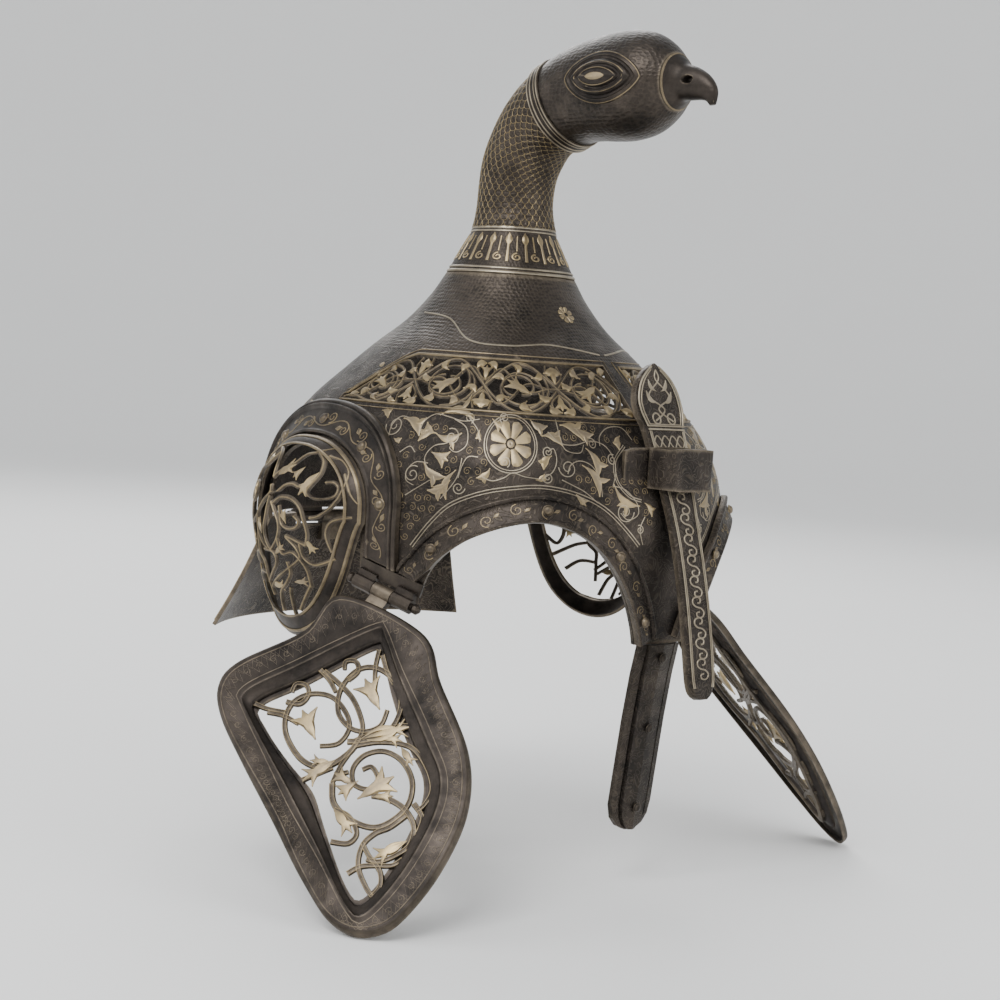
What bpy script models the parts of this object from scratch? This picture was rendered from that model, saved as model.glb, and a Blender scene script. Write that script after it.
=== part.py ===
"""Brass helmet with a bird's head and neck rising from the crown.

Metres, +Z up. The front is towards -Y and the wearer's right is -X.
The origin is the centre of the head opening, at the level where the ear bosses sit.
"""
import math

import bmesh
import bpy
from mathutils import Matrix, Vector

MM = 0.001
SIDES = ((1, "right"), (-1, "left"))

# Bowl
BOWL_WIDTH = 210 * MM
BOWL_LENGTH = 234 * MM
BOWL_WALL = 2.0 * MM
CROWN_HEIGHT = 109 * MM
CROWN_MOUTH = 31.3 * MM
CROWN_FORWARD = 1.5 * MM
SKIRT_DEPTH = 54 * MM
REAR_EDGE = 15 * MM
BOWL_SEGMENTS = 36
SEAT_GAP = 0.3 * MM
FACET_ROOM = 0.2 * MM
CUT_REACH = 16 * MM

# Pierced band around the front and sides of the bowl
BAND_TOP = 69 * MM
BAND_BOTTOM = 45.5 * MM
BAND_START = 10.0
BAND_CELL = 22.8
BAND_CELLS = 4
BAND_MARGIN = 1.2 * MM
BAND_SLOT = 0.30
BAND_SLOT_RISE = 0.52

# Scroll gaps: a drop between two bent slots, as shares of the scroll's size, with turns in degrees
DROP_LENGTH = 0.84
DROP_WIDTH = 0.54
DROP_TURN = 35.0
CRESCENT_MIDDLE = 0.80
CRESCENT_HALF = 0.17
CRESCENT_SWEEPS = ((0.0, 150.0), (185.0, 140.0))

# Eye arches and their riveted rims, with angles in degrees from the front
EYE_CENTRE = 38.0
EYE_TOP = 1.0 * MM
EYE_HALF = 52 * MM
EYE_DROP = 44 * MM
BROW_WIDTH = 12.4 * MM
BROW_THICKNESS = 1.8 * MM
BROW_FLARE = 2.4 * MM
BROW_LIFT = 11 * MM
BROW_SPLIT = 0.4

# Ear frames, horseshoe bands that hold the pierced bosses
EAR_CENTRE = 101.0
EAR_INNER_HALF = 46.2 * MM
EAR_INNER_RISE = 36.5 * MM
EAR_BAND = 15.8 * MM
EAR_SPRING = 8 * MM
EAR_LEG_REAR = 14.5 * MM
EAR_PLATE = 1.4 * MM
EAR_BEAD = 3.4 * MM
EAR_SQUARENESS = 2.2
EAR_RECESS = 4.0 * MM
EAR_STEPS = 10
EAR_CUT_STEPS = 14

# Ear bosses
BOSS_GAP = 0.8 * MM
BOSS_TIP = 57 * MM
BOSS_BULGE = 13 * MM
BOSS_WALL = 1.6 * MM
BOSS_TAPER = 0.31
BOSS_POINT = 1.25
BOSS_FALL = 2.4
BOSS_SPOKES = 20
BOSS_RINGS = 2

# Bird
NECK_WALL = 1.6 * MM
NECK_RISE = 81 * MM
NECK_REACH = 29 * MM
NECK_SEGMENTS = 12
NECK_RADIUS = 20 * MM
COLLAR_WIDTH = 7 * MM
COLLAR_THICKNESS = 1.8 * MM
COLLAR_SLACK = 0.5 * MM
HEAD_LENGTH = 68 * MM
HEAD_HALF_HEIGHT = 25 * MM
HEAD_HALF_WIDTH = 22.5 * MM
HEAD_WALL = 1.8 * MM
HEAD_SEGMENTS = 12
BEAK_LENGTH = 22 * MM
BEAK_SEGMENTS = 10
NOSTRIL_LENGTH = 4.4 * MM
NOSTRIL_HEIGHT = 2.4 * MM
NOSTRIL_PLACE = (0.36, 0.06)
EYE_LENGTH = 42 * MM
EYE_HEIGHT = 24 * MM
EYE_RAISE = 3.2 * MM
EYE_PLACE = 0.59
EYE_LIFT = 1.5 * MM
EYE_SEAT = 0.5 * MM
EYE_POINTING = 0.35
EYE_SEGMENTS = 12

# Fixed nasal, the strip below the middle of the brow
NASAL_WIDTH = 27 * MM
NASAL_THICKNESS = 4.2 * MM
NASAL_LENGTH = 87 * MM
NASAL_SET_BACK = 11 * MM
NASAL_PROUD = 2.6 * MM
NASAL_CURVE = 1.2 * MM

# Sliding nasal bar and the bracket that holds it
BAR_TOP = 72 * MM
BAR_LENGTH = 147 * MM
BAR_LEAN = 44 * MM
BAR_BOW = 5.5 * MM
BAR_SET_BACK = 19.5 * MM
BAR_WIDTH = 18 * MM
BAR_THICKNESS = 4 * MM
BAR_CHAMFER = 1.6 * MM
BAR_STRAIGHT = 0.12
BAR_STEP = 0.02
FINIAL_WIDTH = 31 * MM
BRACKET_HEIGHT = 17 * MM
BRACKET_LEVEL = 25 * MM
BRACKET_WALL = 2.2 * MM
BRACKET_PLAY = 3.2 * MM
BRACKET_SIDE_PLAY = 1.2 * MM
BRACKET_FOOT = 14 * MM

# Cheek guards and their hinges
HINGE_ANGLE = 71.5
HINGE_LEVEL = 37.5 * MM
HINGE_STAND = 3.6 * MM
HINGE_SLOPE = 17.0
HINGE_LENGTH = 31 * MM
KNUCKLE_RADIUS = 3.4 * MM
KNUCKLE_SEGMENTS = 12
PIN_RADIUS = 1.6 * MM
PIN_BALL = 2.4 * MM
PIN_CLEARANCE = 0.3 * MM
PIN_SEGMENTS = 8
LEAF_HEIGHT = 10.3 * MM
LEAF_THICKNESS = 1.8 * MM
LEAF_FOOT = 0.9 * MM
LEAF_SPANS = 8
LINK_INSET = 0.4 * MM
LINK_REACH = 1.2
LINK_RISE = 0.3
TAB_ROOM = 1.2 * MM
GUARD_FLARE = 36.0
GUARD_SIZE = 132 * MM
GUARD_RELIEF = 5.5 * MM
GUARD_PANEL_RELIEF = 0.48
GUARD_EDGE = 0.9 * MM
GUARD_CROWN = 0.4 * MM
GUARD_SLOPE = 3.0 * MM
GUARD_WALL = 1.8 * MM
GUARD_LINK = 13 * MM
GUARD_LINK_DEPTH = 0.9
GUARD_SPOKES = 22
GUARD_CENTRE = (0.26, 0.61)

# Nape guard
NAPE_LEVEL = 19.5 * MM
NAPE_STAND = 3.2 * MM
NAPE_HINGE_LENGTH = 54 * MM
NAPE_DROP = 49 * MM
NAPE_FLARE = 21 * MM
NAPE_CURL = 0.25
NAPE_HALF_ANGLE = 36.0
NAPE_SPREAD = 4.0
NAPE_WALL = 1.8 * MM
NAPE_LINK_DEPTH = 0.55
NAPE_ROWS = 3
NAPE_COLUMNS = 12

# Rivets
RIVET_RADIUS = 2.6 * MM
RIVET_HEIGHT = 1.7 * MM
RIVET_TAPER = 0.55
RIVET_SEGMENTS = 8
BROW_RIVETS = (0.14, 0.42, 0.68, 0.90)
BROW_RIVET_ROW = 0.45
BROW_RIVET_RISE = 0.75
EAR_RIVETS = (12, 50, 90, 130, 168)
EAR_RIVET_ROW = 0.42

# Bowl profile: height as a share of the crown (above 0) or of the skirt (below 0),
# and girth, 0 at the crown's mouth and 1 at the widest level
BOWL_PROFILE = (
    (1.000, 0.000), (0.900, 0.084), (0.780, 0.222), (0.670, 0.398), (0.540, 0.587), (0.420, 0.753),
    (0.294, 0.876), (0.180, 0.946), (0.000, 0.996), (-0.300, 1.000), (-1.000, 0.962),
)

# Neck: rise and reach as shares of their sizes, and radius as a share of NECK_RADIUS
NECK_ROWS = (
    (0.000, 0.000, 1.555), (0.070, 0.000, 1.410), (0.160, 0.000, 1.220), (0.270, 0.000, 1.000),
    (0.395, -0.015, 0.897), (0.515, -0.010, 0.885), (0.635, 0.040, 0.900), (0.750, 0.180, 0.915),
    (0.865, 0.400, 0.940), (0.950, 0.700, 1.000), (1.000, 0.985, 1.050),
)

# Head: distance along it, rise of its middle, lean in degrees, height and width
HEAD_ROWS = (
    (0.000, 0.000, 24.0, 0.860, 0.940), (0.140, 0.060, 15.0, 0.905, 0.960),
    (0.310, 0.092, 6.0, 0.945, 0.985), (0.480, 0.104, 2.0, 0.990, 1.000),
    (0.640, 0.110, 0.0, 1.000, 1.000), (0.790, 0.115, 0.0, 0.925, 0.930),
    (0.910, 0.118, 0.0, 0.745, 0.760), (1.000, 0.118, 0.0, 0.520, 0.540),
)

# Beak: distance, drop of its middle, lean in degrees, height and width as shares of its root
BEAK_ROWS = (
    (0.000, 0.000, 0.0, 1.000, 1.000), (0.110, 0.000, 0.0, 0.830, 0.760),
    (0.250, 0.020, -4.0, 0.640, 0.570), (0.500, 0.070, -12.0, 0.560, 0.460),
    (0.740, 0.150, -24.0, 0.450, 0.350), (0.930, 0.300, -50.0, 0.300, 0.220),
    (0.985, 0.500, -80.0, 0.120, 0.100),
)

# Eye arch: place along the wall and depth below the top, as shares of half width and drop
ARCH_ROWS = (
    (0.960, 0.920), (0.850, 0.545), (0.610, 0.260), (0.290, 0.080), (-0.030, 0.000),
    (-0.300, 0.055), (-0.520, 0.190), (-0.720, 0.425), (-0.880, 0.720), (-0.985, 1.000), (-1.035, 1.200),
)

# Brow rim section: place across the rim, and stand in thicknesses and in flares
BROW_SECTION = (
    (0.00, 0.0, 0.0), (0.00, 1.0, 1.0), (0.12, 1.0, 1.0), (0.80, 0.8, 0.0), (0.84, 1.4, 0.0),
    (0.96, 1.4, 0.0), (1.00, 0.0, 0.0), (0.50, 0.0, 0.0),
)

# Ear frame section: place across the band, and stand in plates and in beads
EAR_SECTION = (
    (0.00, 0.0, 0.0), (0.00, 1.5, 0.0), (0.09, 1.5, 0.0), (0.13, 1.0, 0.0), (0.74, 1.0, 0.0),
    (0.78, 0.0, 0.8), (0.87, 0.0, 1.0), (0.97, 0.0, 0.75), (1.00, 0.0, 0.0), (0.50, 0.0, 0.0),
)

# Collar section: place across it and stand, as shares of its width and thickness
COLLAR_SECTION = ((-0.5, 0.0), (-0.5, 0.7), (-0.2, 1.0), (0.2, 1.0), (0.5, 0.7), (0.5, 0.0))

# Eye section: reach from its middle, and stand as a share of its raise
EYE_SECTION = ((0.25, 0.0), (0.65, 0.0), (1.0, 0.0), (1.0, 0.25), (0.80, 1.0), (0.45, 0.85))

# Fixed nasal section: place across half its width, and depth as a share of its thickness
NASAL_SECTION = (
    (-1.00, 0.00), (-1.00, 0.55), (-0.72, 0.62), (-0.68, 0.35), (-0.62, 0.35), (-0.58, 0.80), (0.00, 1.00),
    (0.58, 0.80), (0.62, 0.35), (0.68, 0.35), (0.72, 0.62), (1.00, 0.55), (1.00, 0.00),
)

# Fixed nasal: place along it, width and set back as shares of its sizes
NASAL_ROWS = (
    (0.000, 1.00, 0.00), (0.160, 1.00, 0.25), (0.400, 1.00, 0.52), (0.650, 1.00, 0.74), (0.860, 1.00, 0.92),
    (0.930, 0.88, 0.96), (0.975, 0.62, 0.99), (1.000, 0.25, 1.00),
)

# Nasal bar: place along it, half width as a share of the bar's or the finial's
FINIAL_ROWS = ((0.000, 0.06), (0.022, 0.42), (0.055, 0.76), (0.100, 0.97), (0.145, 1.00), (0.190, 0.86))
SHANK_ROWS = (
    (0.205, 1.46), (0.275, 1.38), (0.300, 1.22), (0.400, 1.10), (0.520, 1.00), (0.700, 1.00),
    (0.900, 1.00), (0.965, 0.90), (0.990, 0.62), (1.000, 0.30),
)

# Bracket's feet: distance from the loop and height, as shares of the foot and the bracket
BRACKET_COLUMNS = ((1.00, 0.45), (0.70, 0.85), (0.15, 1.00))

# Hinge pin's ends: distance past the hinge and radius, as shares of the ball's radius
PIN_ROWS = ((1.90, 0.4), (1.30, 1.0), (0.70, 1.0), (0.13, 0.6))

# Cheek guard outline and the edge of its panel: along the hinge, and down from it,
# as shares of GUARD_SIZE
GUARD_OUTLINE = (
    (-0.125, 0.070), (-0.160, 0.240), (-0.296, 0.445), (-0.305, 0.550), (-0.227, 0.638),
    (-0.059, 0.738), (0.188, 0.871), (0.370, 0.979), (0.510, 1.046), (0.618, 1.052),
    (0.690, 1.005), (0.728, 0.920), (0.736, 0.721), (0.698, 0.515), (0.585, 0.344),
    (0.364, 0.181), (0.205, 0.060),
)
PANEL_OUTLINE = (
    (0.065, 0.134), (-0.088, 0.365), (-0.191, 0.528), (-0.130, 0.591), (0.145, 0.735),
    (0.354, 0.852), (0.532, 0.956), (0.603, 0.955), (0.630, 0.794), (0.614, 0.595),
    (0.560, 0.471), (0.438, 0.379), (0.241, 0.242), (0.115, 0.144),
)
GUARD_SCROLLS = (
    (-0.010, 0.480, 0.098, 20.0), (0.190, 0.360, 0.090, 200.0), (0.245, 0.630, 0.114, 110.0),
    (0.445, 0.525, 0.096, 290.0), (0.490, 0.800, 0.098, 60.0),
)

# Ear boss scrolls and slots: across, up, size and turn, as shares of the boss's half width
BOSS_SCROLLS = (
    (-0.34, 0.30, 0.26, 30.0), (0.34, 0.30, 0.26, 150.0),
    (0.00, -0.26, 0.28, 270.0), (0.00, -0.80, 0.16, 90.0),
)
BOSS_SLOTS = ((0.00, 0.52, 0.10, 90.0), (-0.50, -0.26, 0.12, 60.0), (0.50, -0.26, 0.12, 120.0))


def clear_scene():
    for item in list(bpy.data.objects):
        bpy.data.objects.remove(item, do_unlink=True)


def new_collection(name):
    group = bpy.data.collections.new(name)
    bpy.context.scene.collection.children.link(group)


def metal(name, colour, roughness):
    """Return the named metal, made once."""
    found = bpy.data.materials.get(name)
    if found:
        return found
    finish = bpy.data.materials.new(name)
    finish.use_nodes = True
    shader = finish.node_tree.nodes["Principled BSDF"]
    shader.inputs["Base Color"].default_value = (*colour, 1.0)
    shader.inputs["Roughness"].default_value = roughness
    shader.inputs["Metallic"].default_value = 1.0
    return finish


def dark_brass(name):
    return metal(name, (0.30, 0.27, 0.21), 0.42)


def bright_brass(name):
    return metal(name, (0.62, 0.52, 0.30), 0.35)


def add_part(name, mesh, finish):
    part = bpy.data.objects.new(name, mesh)
    part.data.materials.append(finish)
    bpy.data.collections["helmet"].objects.link(part)
    return part


def add_cutter(name, mesh):
    cutter = bpy.data.objects.new(name, mesh)
    cutter.hide_render = True
    cutter.display_type = 'WIRE'
    bpy.data.collections["cutters"].objects.link(cutter)
    return cutter


def cut(part, cutter, operation='DIFFERENCE'):
    modifier = part.modifiers.new(cutter.name, 'BOOLEAN')
    modifier.operation = operation
    modifier.solver = 'EXACT'
    modifier.object = cutter


def thicken(part, wall):
    """Give an open surface its wall, laid inside the surface."""
    modifier = part.modifiers.new("wall", 'SOLIDIFY')
    modifier.thickness = wall
    modifier.offset = -1.0
    modifier.use_even_offset = True


def finish_mesh(name, mesh_data, smooth_angle=35.0):
    mesh = bpy.data.meshes.new(name)
    mesh_data.to_mesh(mesh)
    mesh_data.free()
    mesh.shade_smooth()
    mesh.set_sharp_from_angle(angle=math.radians(smooth_angle))
    return mesh


def loft(name, rings, caps=True):
    """Join closed rings of points into one closed solid that faces outward."""
    work = bmesh.new()
    rows = [[work.verts.new(point) for point in ring] for ring in rings]
    count = len(rows[0])
    for lower, upper in zip(rows, rows[1:]):
        for i in range(count):
            j = (i + 1) % count
            work.faces.new((lower[i], lower[j], upper[j], upper[i]))
    if caps:
        work.faces.new(rows[0][::-1])
        work.faces.new(rows[-1])
    else:
        for i in range(count):
            j = (i + 1) % count
            work.faces.new((rows[-1][i], rows[-1][j], rows[0][j], rows[0][i]))
    bmesh.ops.recalc_face_normals(work, faces=work.faces)
    return finish_mesh(name, work)


def sheet(name, rows, outward, closed=False, centre=None):
    """Join rows of points into an open surface whose faces look along outward(point)."""
    work = bmesh.new()
    lines = [[work.verts.new(point) for point in row] for row in rows]
    count = len(lines[0])
    last = count if closed else count - 1
    for lower, upper in zip(lines, lines[1:]):
        for i in range(last):
            j = (i + 1) % count
            work.faces.new((lower[i], lower[j], upper[j], upper[i]))
    if centre is not None:
        hub = work.verts.new(centre)
        for i in range(count):
            work.faces.new((lines[-1][i], lines[-1][(i + 1) % count], hub))
    work.normal_update()
    facing = sum(face.normal.dot(outward(face.calc_center_median())) for face in work.faces)
    if facing < 0:
        bmesh.ops.reverse_faces(work, faces=work.faces)
    return finish_mesh(name, work)


def prisms(name, outlines, place, depth):
    """Build one closed prism through the wall for each outline of (across, up) points."""
    work = bmesh.new()
    for outline in outlines:
        near = [work.verts.new(place(u, v, depth)) for u, v in outline]
        far = [work.verts.new(place(u, v, -depth)) for u, v in outline]
        count = len(outline)
        faces = [work.faces.new(near), work.faces.new(far[::-1])]
        for i in range(count):
            j = (i + 1) % count
            faces.append(work.faces.new((near[j], near[i], far[i], far[j])))
        bmesh.ops.recalc_face_normals(work, faces=faces)
    return finish_mesh(name, work)


def box_mesh(name, low, high, matrix=None):
    work = bmesh.new()
    bmesh.ops.create_cube(work, size=1.0)
    low, high = Vector(low), Vector(high)
    size, middle = high - low, (high + low) / 2
    for vert in work.verts:
        vert.co = Vector((vert.co[i] * size[i] + middle[i] for i in range(3)))
    if matrix is not None:
        bmesh.ops.transform(work, matrix=matrix, verts=work.verts)
    return finish_mesh(name, work)


def rod_mesh(name, radius, start, end, sides):
    """Build a round bar along local X."""
    work = bmesh.new()
    bmesh.ops.create_cone(work, cap_ends=True, segments=sides, radius1=radius, radius2=radius,
                          depth=end - start)
    turn = Matrix.Rotation(math.radians(90), 4, 'Y')
    bmesh.ops.transform(work, matrix=Matrix.Translation(((start + end) / 2, 0, 0)) @ turn, verts=work.verts)
    return finish_mesh(name, work)


def smooth_line(points, steps, closed=False):
    """Run a smooth curve through the points, with the given steps between each two."""
    count = len(points)
    line = []
    spans = count if closed else count - 1
    for i in range(spans):
        if closed:
            p = [Vector(points[(i + k - 1) % count]) for k in range(4)]
        else:
            p = [Vector(points[min(max(i + k - 1, 0), count - 1)]) for k in range(4)]
        bend = 2 * p[0] - 5 * p[1] + 4 * p[2] - p[3]
        twist = 3 * p[1] - p[0] - 3 * p[2] + p[3]
        for step in range(steps):
            t = step / steps
            line.append(0.5 * (2 * p[1] + (p[2] - p[0]) * t + bend * t * t + twist * t ** 3))
    if not closed:
        line.append(Vector(points[-1]))
    return line


def bowl_girth(level):
    """Girth share of the bowl at a height in metres, read smoothly from its profile."""
    share = level / (CROWN_HEIGHT if level > 0 else SKIRT_DEPTH)
    rows = BOWL_PROFILE
    for i in range(len(rows) - 1):
        if share >= rows[i + 1][0] or i == len(rows) - 2:
            p = [rows[min(max(i + k - 1, 0), len(rows) - 1)] for k in range(4)]
            t = (share - p[1][0]) / (p[2][0] - p[1][0])
            slope_start = (p[2][1] - p[0][1]) / (p[2][0] - p[0][0])
            slope_end = (p[3][1] - p[1][1]) / (p[3][0] - p[1][0])
            run = p[2][0] - p[1][0]
            if t > 1:
                return p[2][1]
            return ((2 * t ** 3 - 3 * t * t + 1) * p[1][1] + (t ** 3 - 2 * t * t + t) * run * slope_start
                    + (3 * t * t - 2 * t ** 3) * p[2][1] + (t ** 3 - t * t) * run * slope_end)
    return rows[-1][1]


def bowl_halves(level):
    girth = bowl_girth(level)
    half_width = CROWN_MOUTH + (BOWL_WIDTH / 2 - CROWN_MOUTH) * girth
    half_length = CROWN_MOUTH + (BOWL_LENGTH / 2 - CROWN_MOUTH) * girth
    return half_width, half_length, CROWN_FORWARD * (1 - girth)


def bowl_skin(angle, level):
    half_width, half_length, forward = bowl_halves(level)
    turn = math.radians(angle)
    return Vector((-half_width * math.sin(turn), -half_length * math.cos(turn) - forward, level))


def bowl_point(angle, level, stand=0.0):
    """Point on the bowl's outer skin, moved out by stand; the angle runs from the front to the right."""
    skin = bowl_skin(angle, level)
    along = bowl_skin(angle + 0.5, level) - bowl_skin(angle - 0.5, level)
    step = 0.5 * MM
    up = bowl_skin(angle, level + step) - bowl_skin(angle, level - step)
    normal = along.cross(up).normalized()
    if normal.x * skin.x + normal.y * skin.y < 0:
        normal = -normal
    return skin + normal * stand


def bowl_normal(angle, level):
    return (bowl_point(angle, level, MM) - bowl_point(angle, level)).normalized()


def wall_angle(centre, across, level):
    """Angle of a place that lies across metres behind a centre line, along the bowl's wall."""
    half_width, half_length, _ = bowl_halves(level)
    return centre + math.degrees(2 * across / (half_width + half_length))


def from_axis(point):
    return Vector((point.x, point.y, 0))


def make_bowl():
    """Shell of the bowl, cut away for the eyes, the ears and the nape, and pierced by the band."""
    levels = [share * (CROWN_HEIGHT if share > 0 else SKIRT_DEPTH) for share, _ in BOWL_PROFILE]
    rows = [[bowl_point(360.0 * i / BOWL_SEGMENTS, level) for i in range(BOWL_SEGMENTS)] for level in levels]
    bowl = add_part("bowl", sheet("bowl", rows, from_axis, closed=True), dark_brass("bowl_brass"))
    thicken(bowl, BOWL_WALL)
    cut(bowl, add_cutter("band_cut", prisms("band_cut", band_outlines(), bowl_point, 2 * BOWL_WALL)))
    for side, label in SIDES:
        eye = [(side * wall_angle(EYE_CENTRE, p.x, p.y), p.y) for p in arch_line(2)]
        cut(bowl, add_cutter("eye_cut_" + label, wall_cutter("eye_cut_" + label, eye)))
        ear = [(side * wall_angle(EAR_CENTRE, u, v), v) for u, v in ear_line(-EAR_RECESS, EAR_CUT_STEPS)]
        cut(bowl, add_cutter("ear_cut_" + label, wall_cutter("ear_cut_" + label, ear)))
        frame = cheek_frame(side)
        reach = 3 * HINGE_LENGTH
        tab = box_mesh("tab_cut_" + label, (-HINGE_LENGTH, -SKIRT_DEPTH / 2, -reach),
                       (HINGE_LENGTH, SKIRT_DEPTH / 2, KNUCKLE_RADIUS + TAB_ROOM), frame)
        cut(bowl, add_cutter("tab_cut_" + label, tab))
    rear = box_mesh("rear_cut", (-BOWL_WIDTH, EAR_INNER_HALF / 2, -2 * SKIRT_DEPTH),
                    (BOWL_WIDTH, BOWL_LENGTH, -REAR_EDGE))
    cut(bowl, add_cutter("rear_cut", rear))


def arch_line(steps):
    """Eye arch edge as (across, level) points, from its rear end to its front end."""
    return smooth_line([(u * EYE_HALF, -EYE_TOP - v * EYE_DROP) for u, v in ARCH_ROWS], steps)


def ear_line(outset, steps):
    """Arch of the ear opening as (across, level) points, moved out by outset."""
    half = EAR_INNER_HALF + outset
    top = EAR_INNER_RISE + outset
    power = 2.0 / EAR_SQUARENESS
    line = []
    for i in range(steps + 1):
        turn = math.pi * i / steps
        c, s = math.cos(turn), math.sin(turn)
        across = -half * math.copysign(abs(c) ** power, c)
        line.append((across, -EAR_SPRING + top * s ** power))
    return line


def wall_cutter(name, stations):
    """Curtain that cuts the wall away below a line of (angle, level) stations."""
    bottom = -2 * SKIRT_DEPTH
    rings = []
    for angle, level in stations:
        rings.append([bowl_point(angle, level, CUT_REACH), bowl_point(angle, level, -CUT_REACH),
                      bowl_point(angle, bottom, -CUT_REACH), bowl_point(angle, bottom, CUT_REACH)])
    return loft(name, rings)


def ellipse(cx, cy, rx, ry, turn, sides):
    """Points of a turned ellipse, or of a triangle or diamond with few sides."""
    tilt = math.radians(turn)
    points = []
    for i in range(sides):
        a = 2 * math.pi * i / sides
        x, y = rx * math.cos(a), ry * math.sin(a)
        points.append((cx + x * math.cos(tilt) - y * math.sin(tilt),
                       cy + x * math.sin(tilt) + y * math.cos(tilt)))
    return points


def crescent(cx, cy, size, start, sweep, sides):
    """Bent slot between two arcs, pointed at both ends."""
    outer, inner = [], []
    for i in range(sides + 1):
        share = i / sides
        a = math.radians(start + sweep * share)
        half = CRESCENT_HALF * (1 if 0 < i < sides else 0)
        outer.append((cx + size * (CRESCENT_MIDDLE + half) * math.cos(a),
                      cy + size * (CRESCENT_MIDDLE + half) * math.sin(a)))
        if half:
            inner.append((cx + size * (CRESCENT_MIDDLE - half) * math.cos(a),
                          cy + size * (CRESCENT_MIDDLE - half) * math.sin(a)))
    return outer + inner[::-1]


def scroll(cx, cy, size, turn, sides=3):
    """Three gaps that leave a coiled stem: two bent slots around a drop."""
    gaps = [ellipse(cx, cy, DROP_LENGTH / 2 * size, DROP_WIDTH / 2 * size, turn + DROP_TURN, 4)]
    for start, sweep in CRESCENT_SWEEPS:
        gaps.append(crescent(cx, cy, size, turn + start, sweep, sides))
    return gaps


def band_outlines():
    """Gaps of the band, as outlines of (angle, level) points, on both sides of the front."""
    middle = (BAND_TOP + BAND_BOTTOM) / 2
    half = (BAND_TOP - BAND_BOTTOM) / 2 - BAND_MARGIN
    edge = math.radians(BAND_CELL / 2) * sum(bowl_halves(middle)[:2]) / 2
    slot = half * BAND_SLOT
    outlines = []
    for side, _ in SIDES:
        for cell in range(BAND_CELLS):
            angle = BAND_START + BAND_CELL * (cell + 0.5)
            gaps = scroll(0, 0, half, 40 if cell % 2 else 220)
            gaps.append(ellipse(edge, BAND_SLOT_RISE * half, slot, slot, 90, 3))
            gaps.append(ellipse(edge, -BAND_SLOT_RISE * half, slot, slot, 270, 3))
            for gap in gaps:
                outlines.append([(side * wall_angle(angle, x, middle), middle + y) for x, y in gap])
    return outlines


def make_brow(side, label):
    """Riveted rim around an eye arch, flared away from the bowl at its free edge."""
    line = arch_line(1)
    seat = SEAT_GAP + FACET_ROOM
    limit = wall_angle(EAR_CENTRE, -EAR_INNER_HALF - EAR_BAND, -HINGE_LEVEL / 2) - BROW_SPLIT
    rings = []
    for i, point in enumerate(line):
        ahead = line[min(i + 1, len(line) - 1)] - line[max(i - 1, 0)]
        normal = Vector((-ahead.y, ahead.x)).normalized()
        if normal.y < 0:
            normal = -normal
        if i == 0:
            point = point + Vector((0, BROW_LIFT))
        ring = []
        for share, thick, flare in BROW_SECTION:
            stand = thick * BROW_THICKNESS + flare * BROW_FLARE
            spot = point + normal * (BROW_WIDTH * share)
            angle = min(max(wall_angle(EYE_CENTRE, spot.x, spot.y), BROW_SPLIT), limit)
            ring.append(bowl_point(side * angle, spot.y, seat + stand))
        rings.append(ring)
    add_part("brow_rim_" + label, loft("brow_rim_" + label, rings), dark_brass("brow_brass"))


def make_ear_frame(side, label):
    """Horseshoe band around the ear boss, with a rolled outer border."""
    inner = ear_line(0, EAR_STEPS)
    outer = ear_line(EAR_BAND, EAR_STEPS)
    pairs = [((inner[0][0], hinge_line(inner[0][0])), (outer[0][0], hinge_line(outer[0][0])))]
    pairs += list(zip(inner, outer))
    pairs.append(((inner[-1][0], -EAR_LEG_REAR), (outer[-1][0], -EAR_LEG_REAR)))
    rings = []
    for (iu, iv), (ou, ov) in pairs:
        ring = []
        for share, plate, bead in EAR_SECTION:
            u, v = iu + (ou - iu) * share, iv + (ov - iv) * share
            stand = SEAT_GAP + FACET_ROOM + plate * EAR_PLATE + bead * EAR_BEAD
            ring.append(bowl_point(side * wall_angle(EAR_CENTRE, u, v), v, stand))
        rings.append(ring)
    add_part("ear_frame_" + label, loft("ear_frame_" + label, rings), dark_brass("frame_brass"))


def hinge_line(across):
    """Level of the line just above the cheek hinge's leaf, at a place behind the ear's centre line."""
    gap = math.radians(HINGE_ANGLE - EAR_CENTRE) * (BOWL_WIDTH + BOWL_LENGTH) / 4
    slope = math.radians(HINGE_SLOPE)
    return -HINGE_LEVEL + (across - gap) * math.tan(slope) + (LEAF_HEIGHT + 2 * SEAT_GAP) / math.cos(slope)


def boss_edge(turn):
    """Edge of an ear boss as (across, up) from its middle: round above, a point below."""
    half = EAR_INNER_HALF - BOSS_GAP
    c, s = math.cos(turn), math.sin(turn)
    power = 2.0 / EAR_SQUARENESS
    if s >= 0:
        return half * math.copysign(abs(c) ** power, c), (EAR_INNER_RISE - BOSS_GAP) * s ** power
    return half * c * (1 + BOSS_TAPER * s * (1 + s)), -BOSS_TIP * (-s) ** BOSS_POINT


def boss_point(side, u, v, stand=0.0):
    level = -EAR_SPRING + v
    return bowl_point(side * wall_angle(EAR_CENTRE, u, max(level, -SKIRT_DEPTH)), level, stand)


def boss_stand(u, v):
    """Height of the boss above the bowl's skin at (across, up) from its middle."""
    turn = math.atan2(v / (EAR_INNER_RISE if v > 0 else BOSS_TIP), u / EAR_INNER_HALF)
    edge_u, edge_v = boss_edge(turn)
    reach = math.hypot(edge_u, edge_v)
    share = min(math.hypot(u, v) / reach, 1.0)
    return BOSS_BULGE * (1 - share ** BOSS_FALL)


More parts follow.
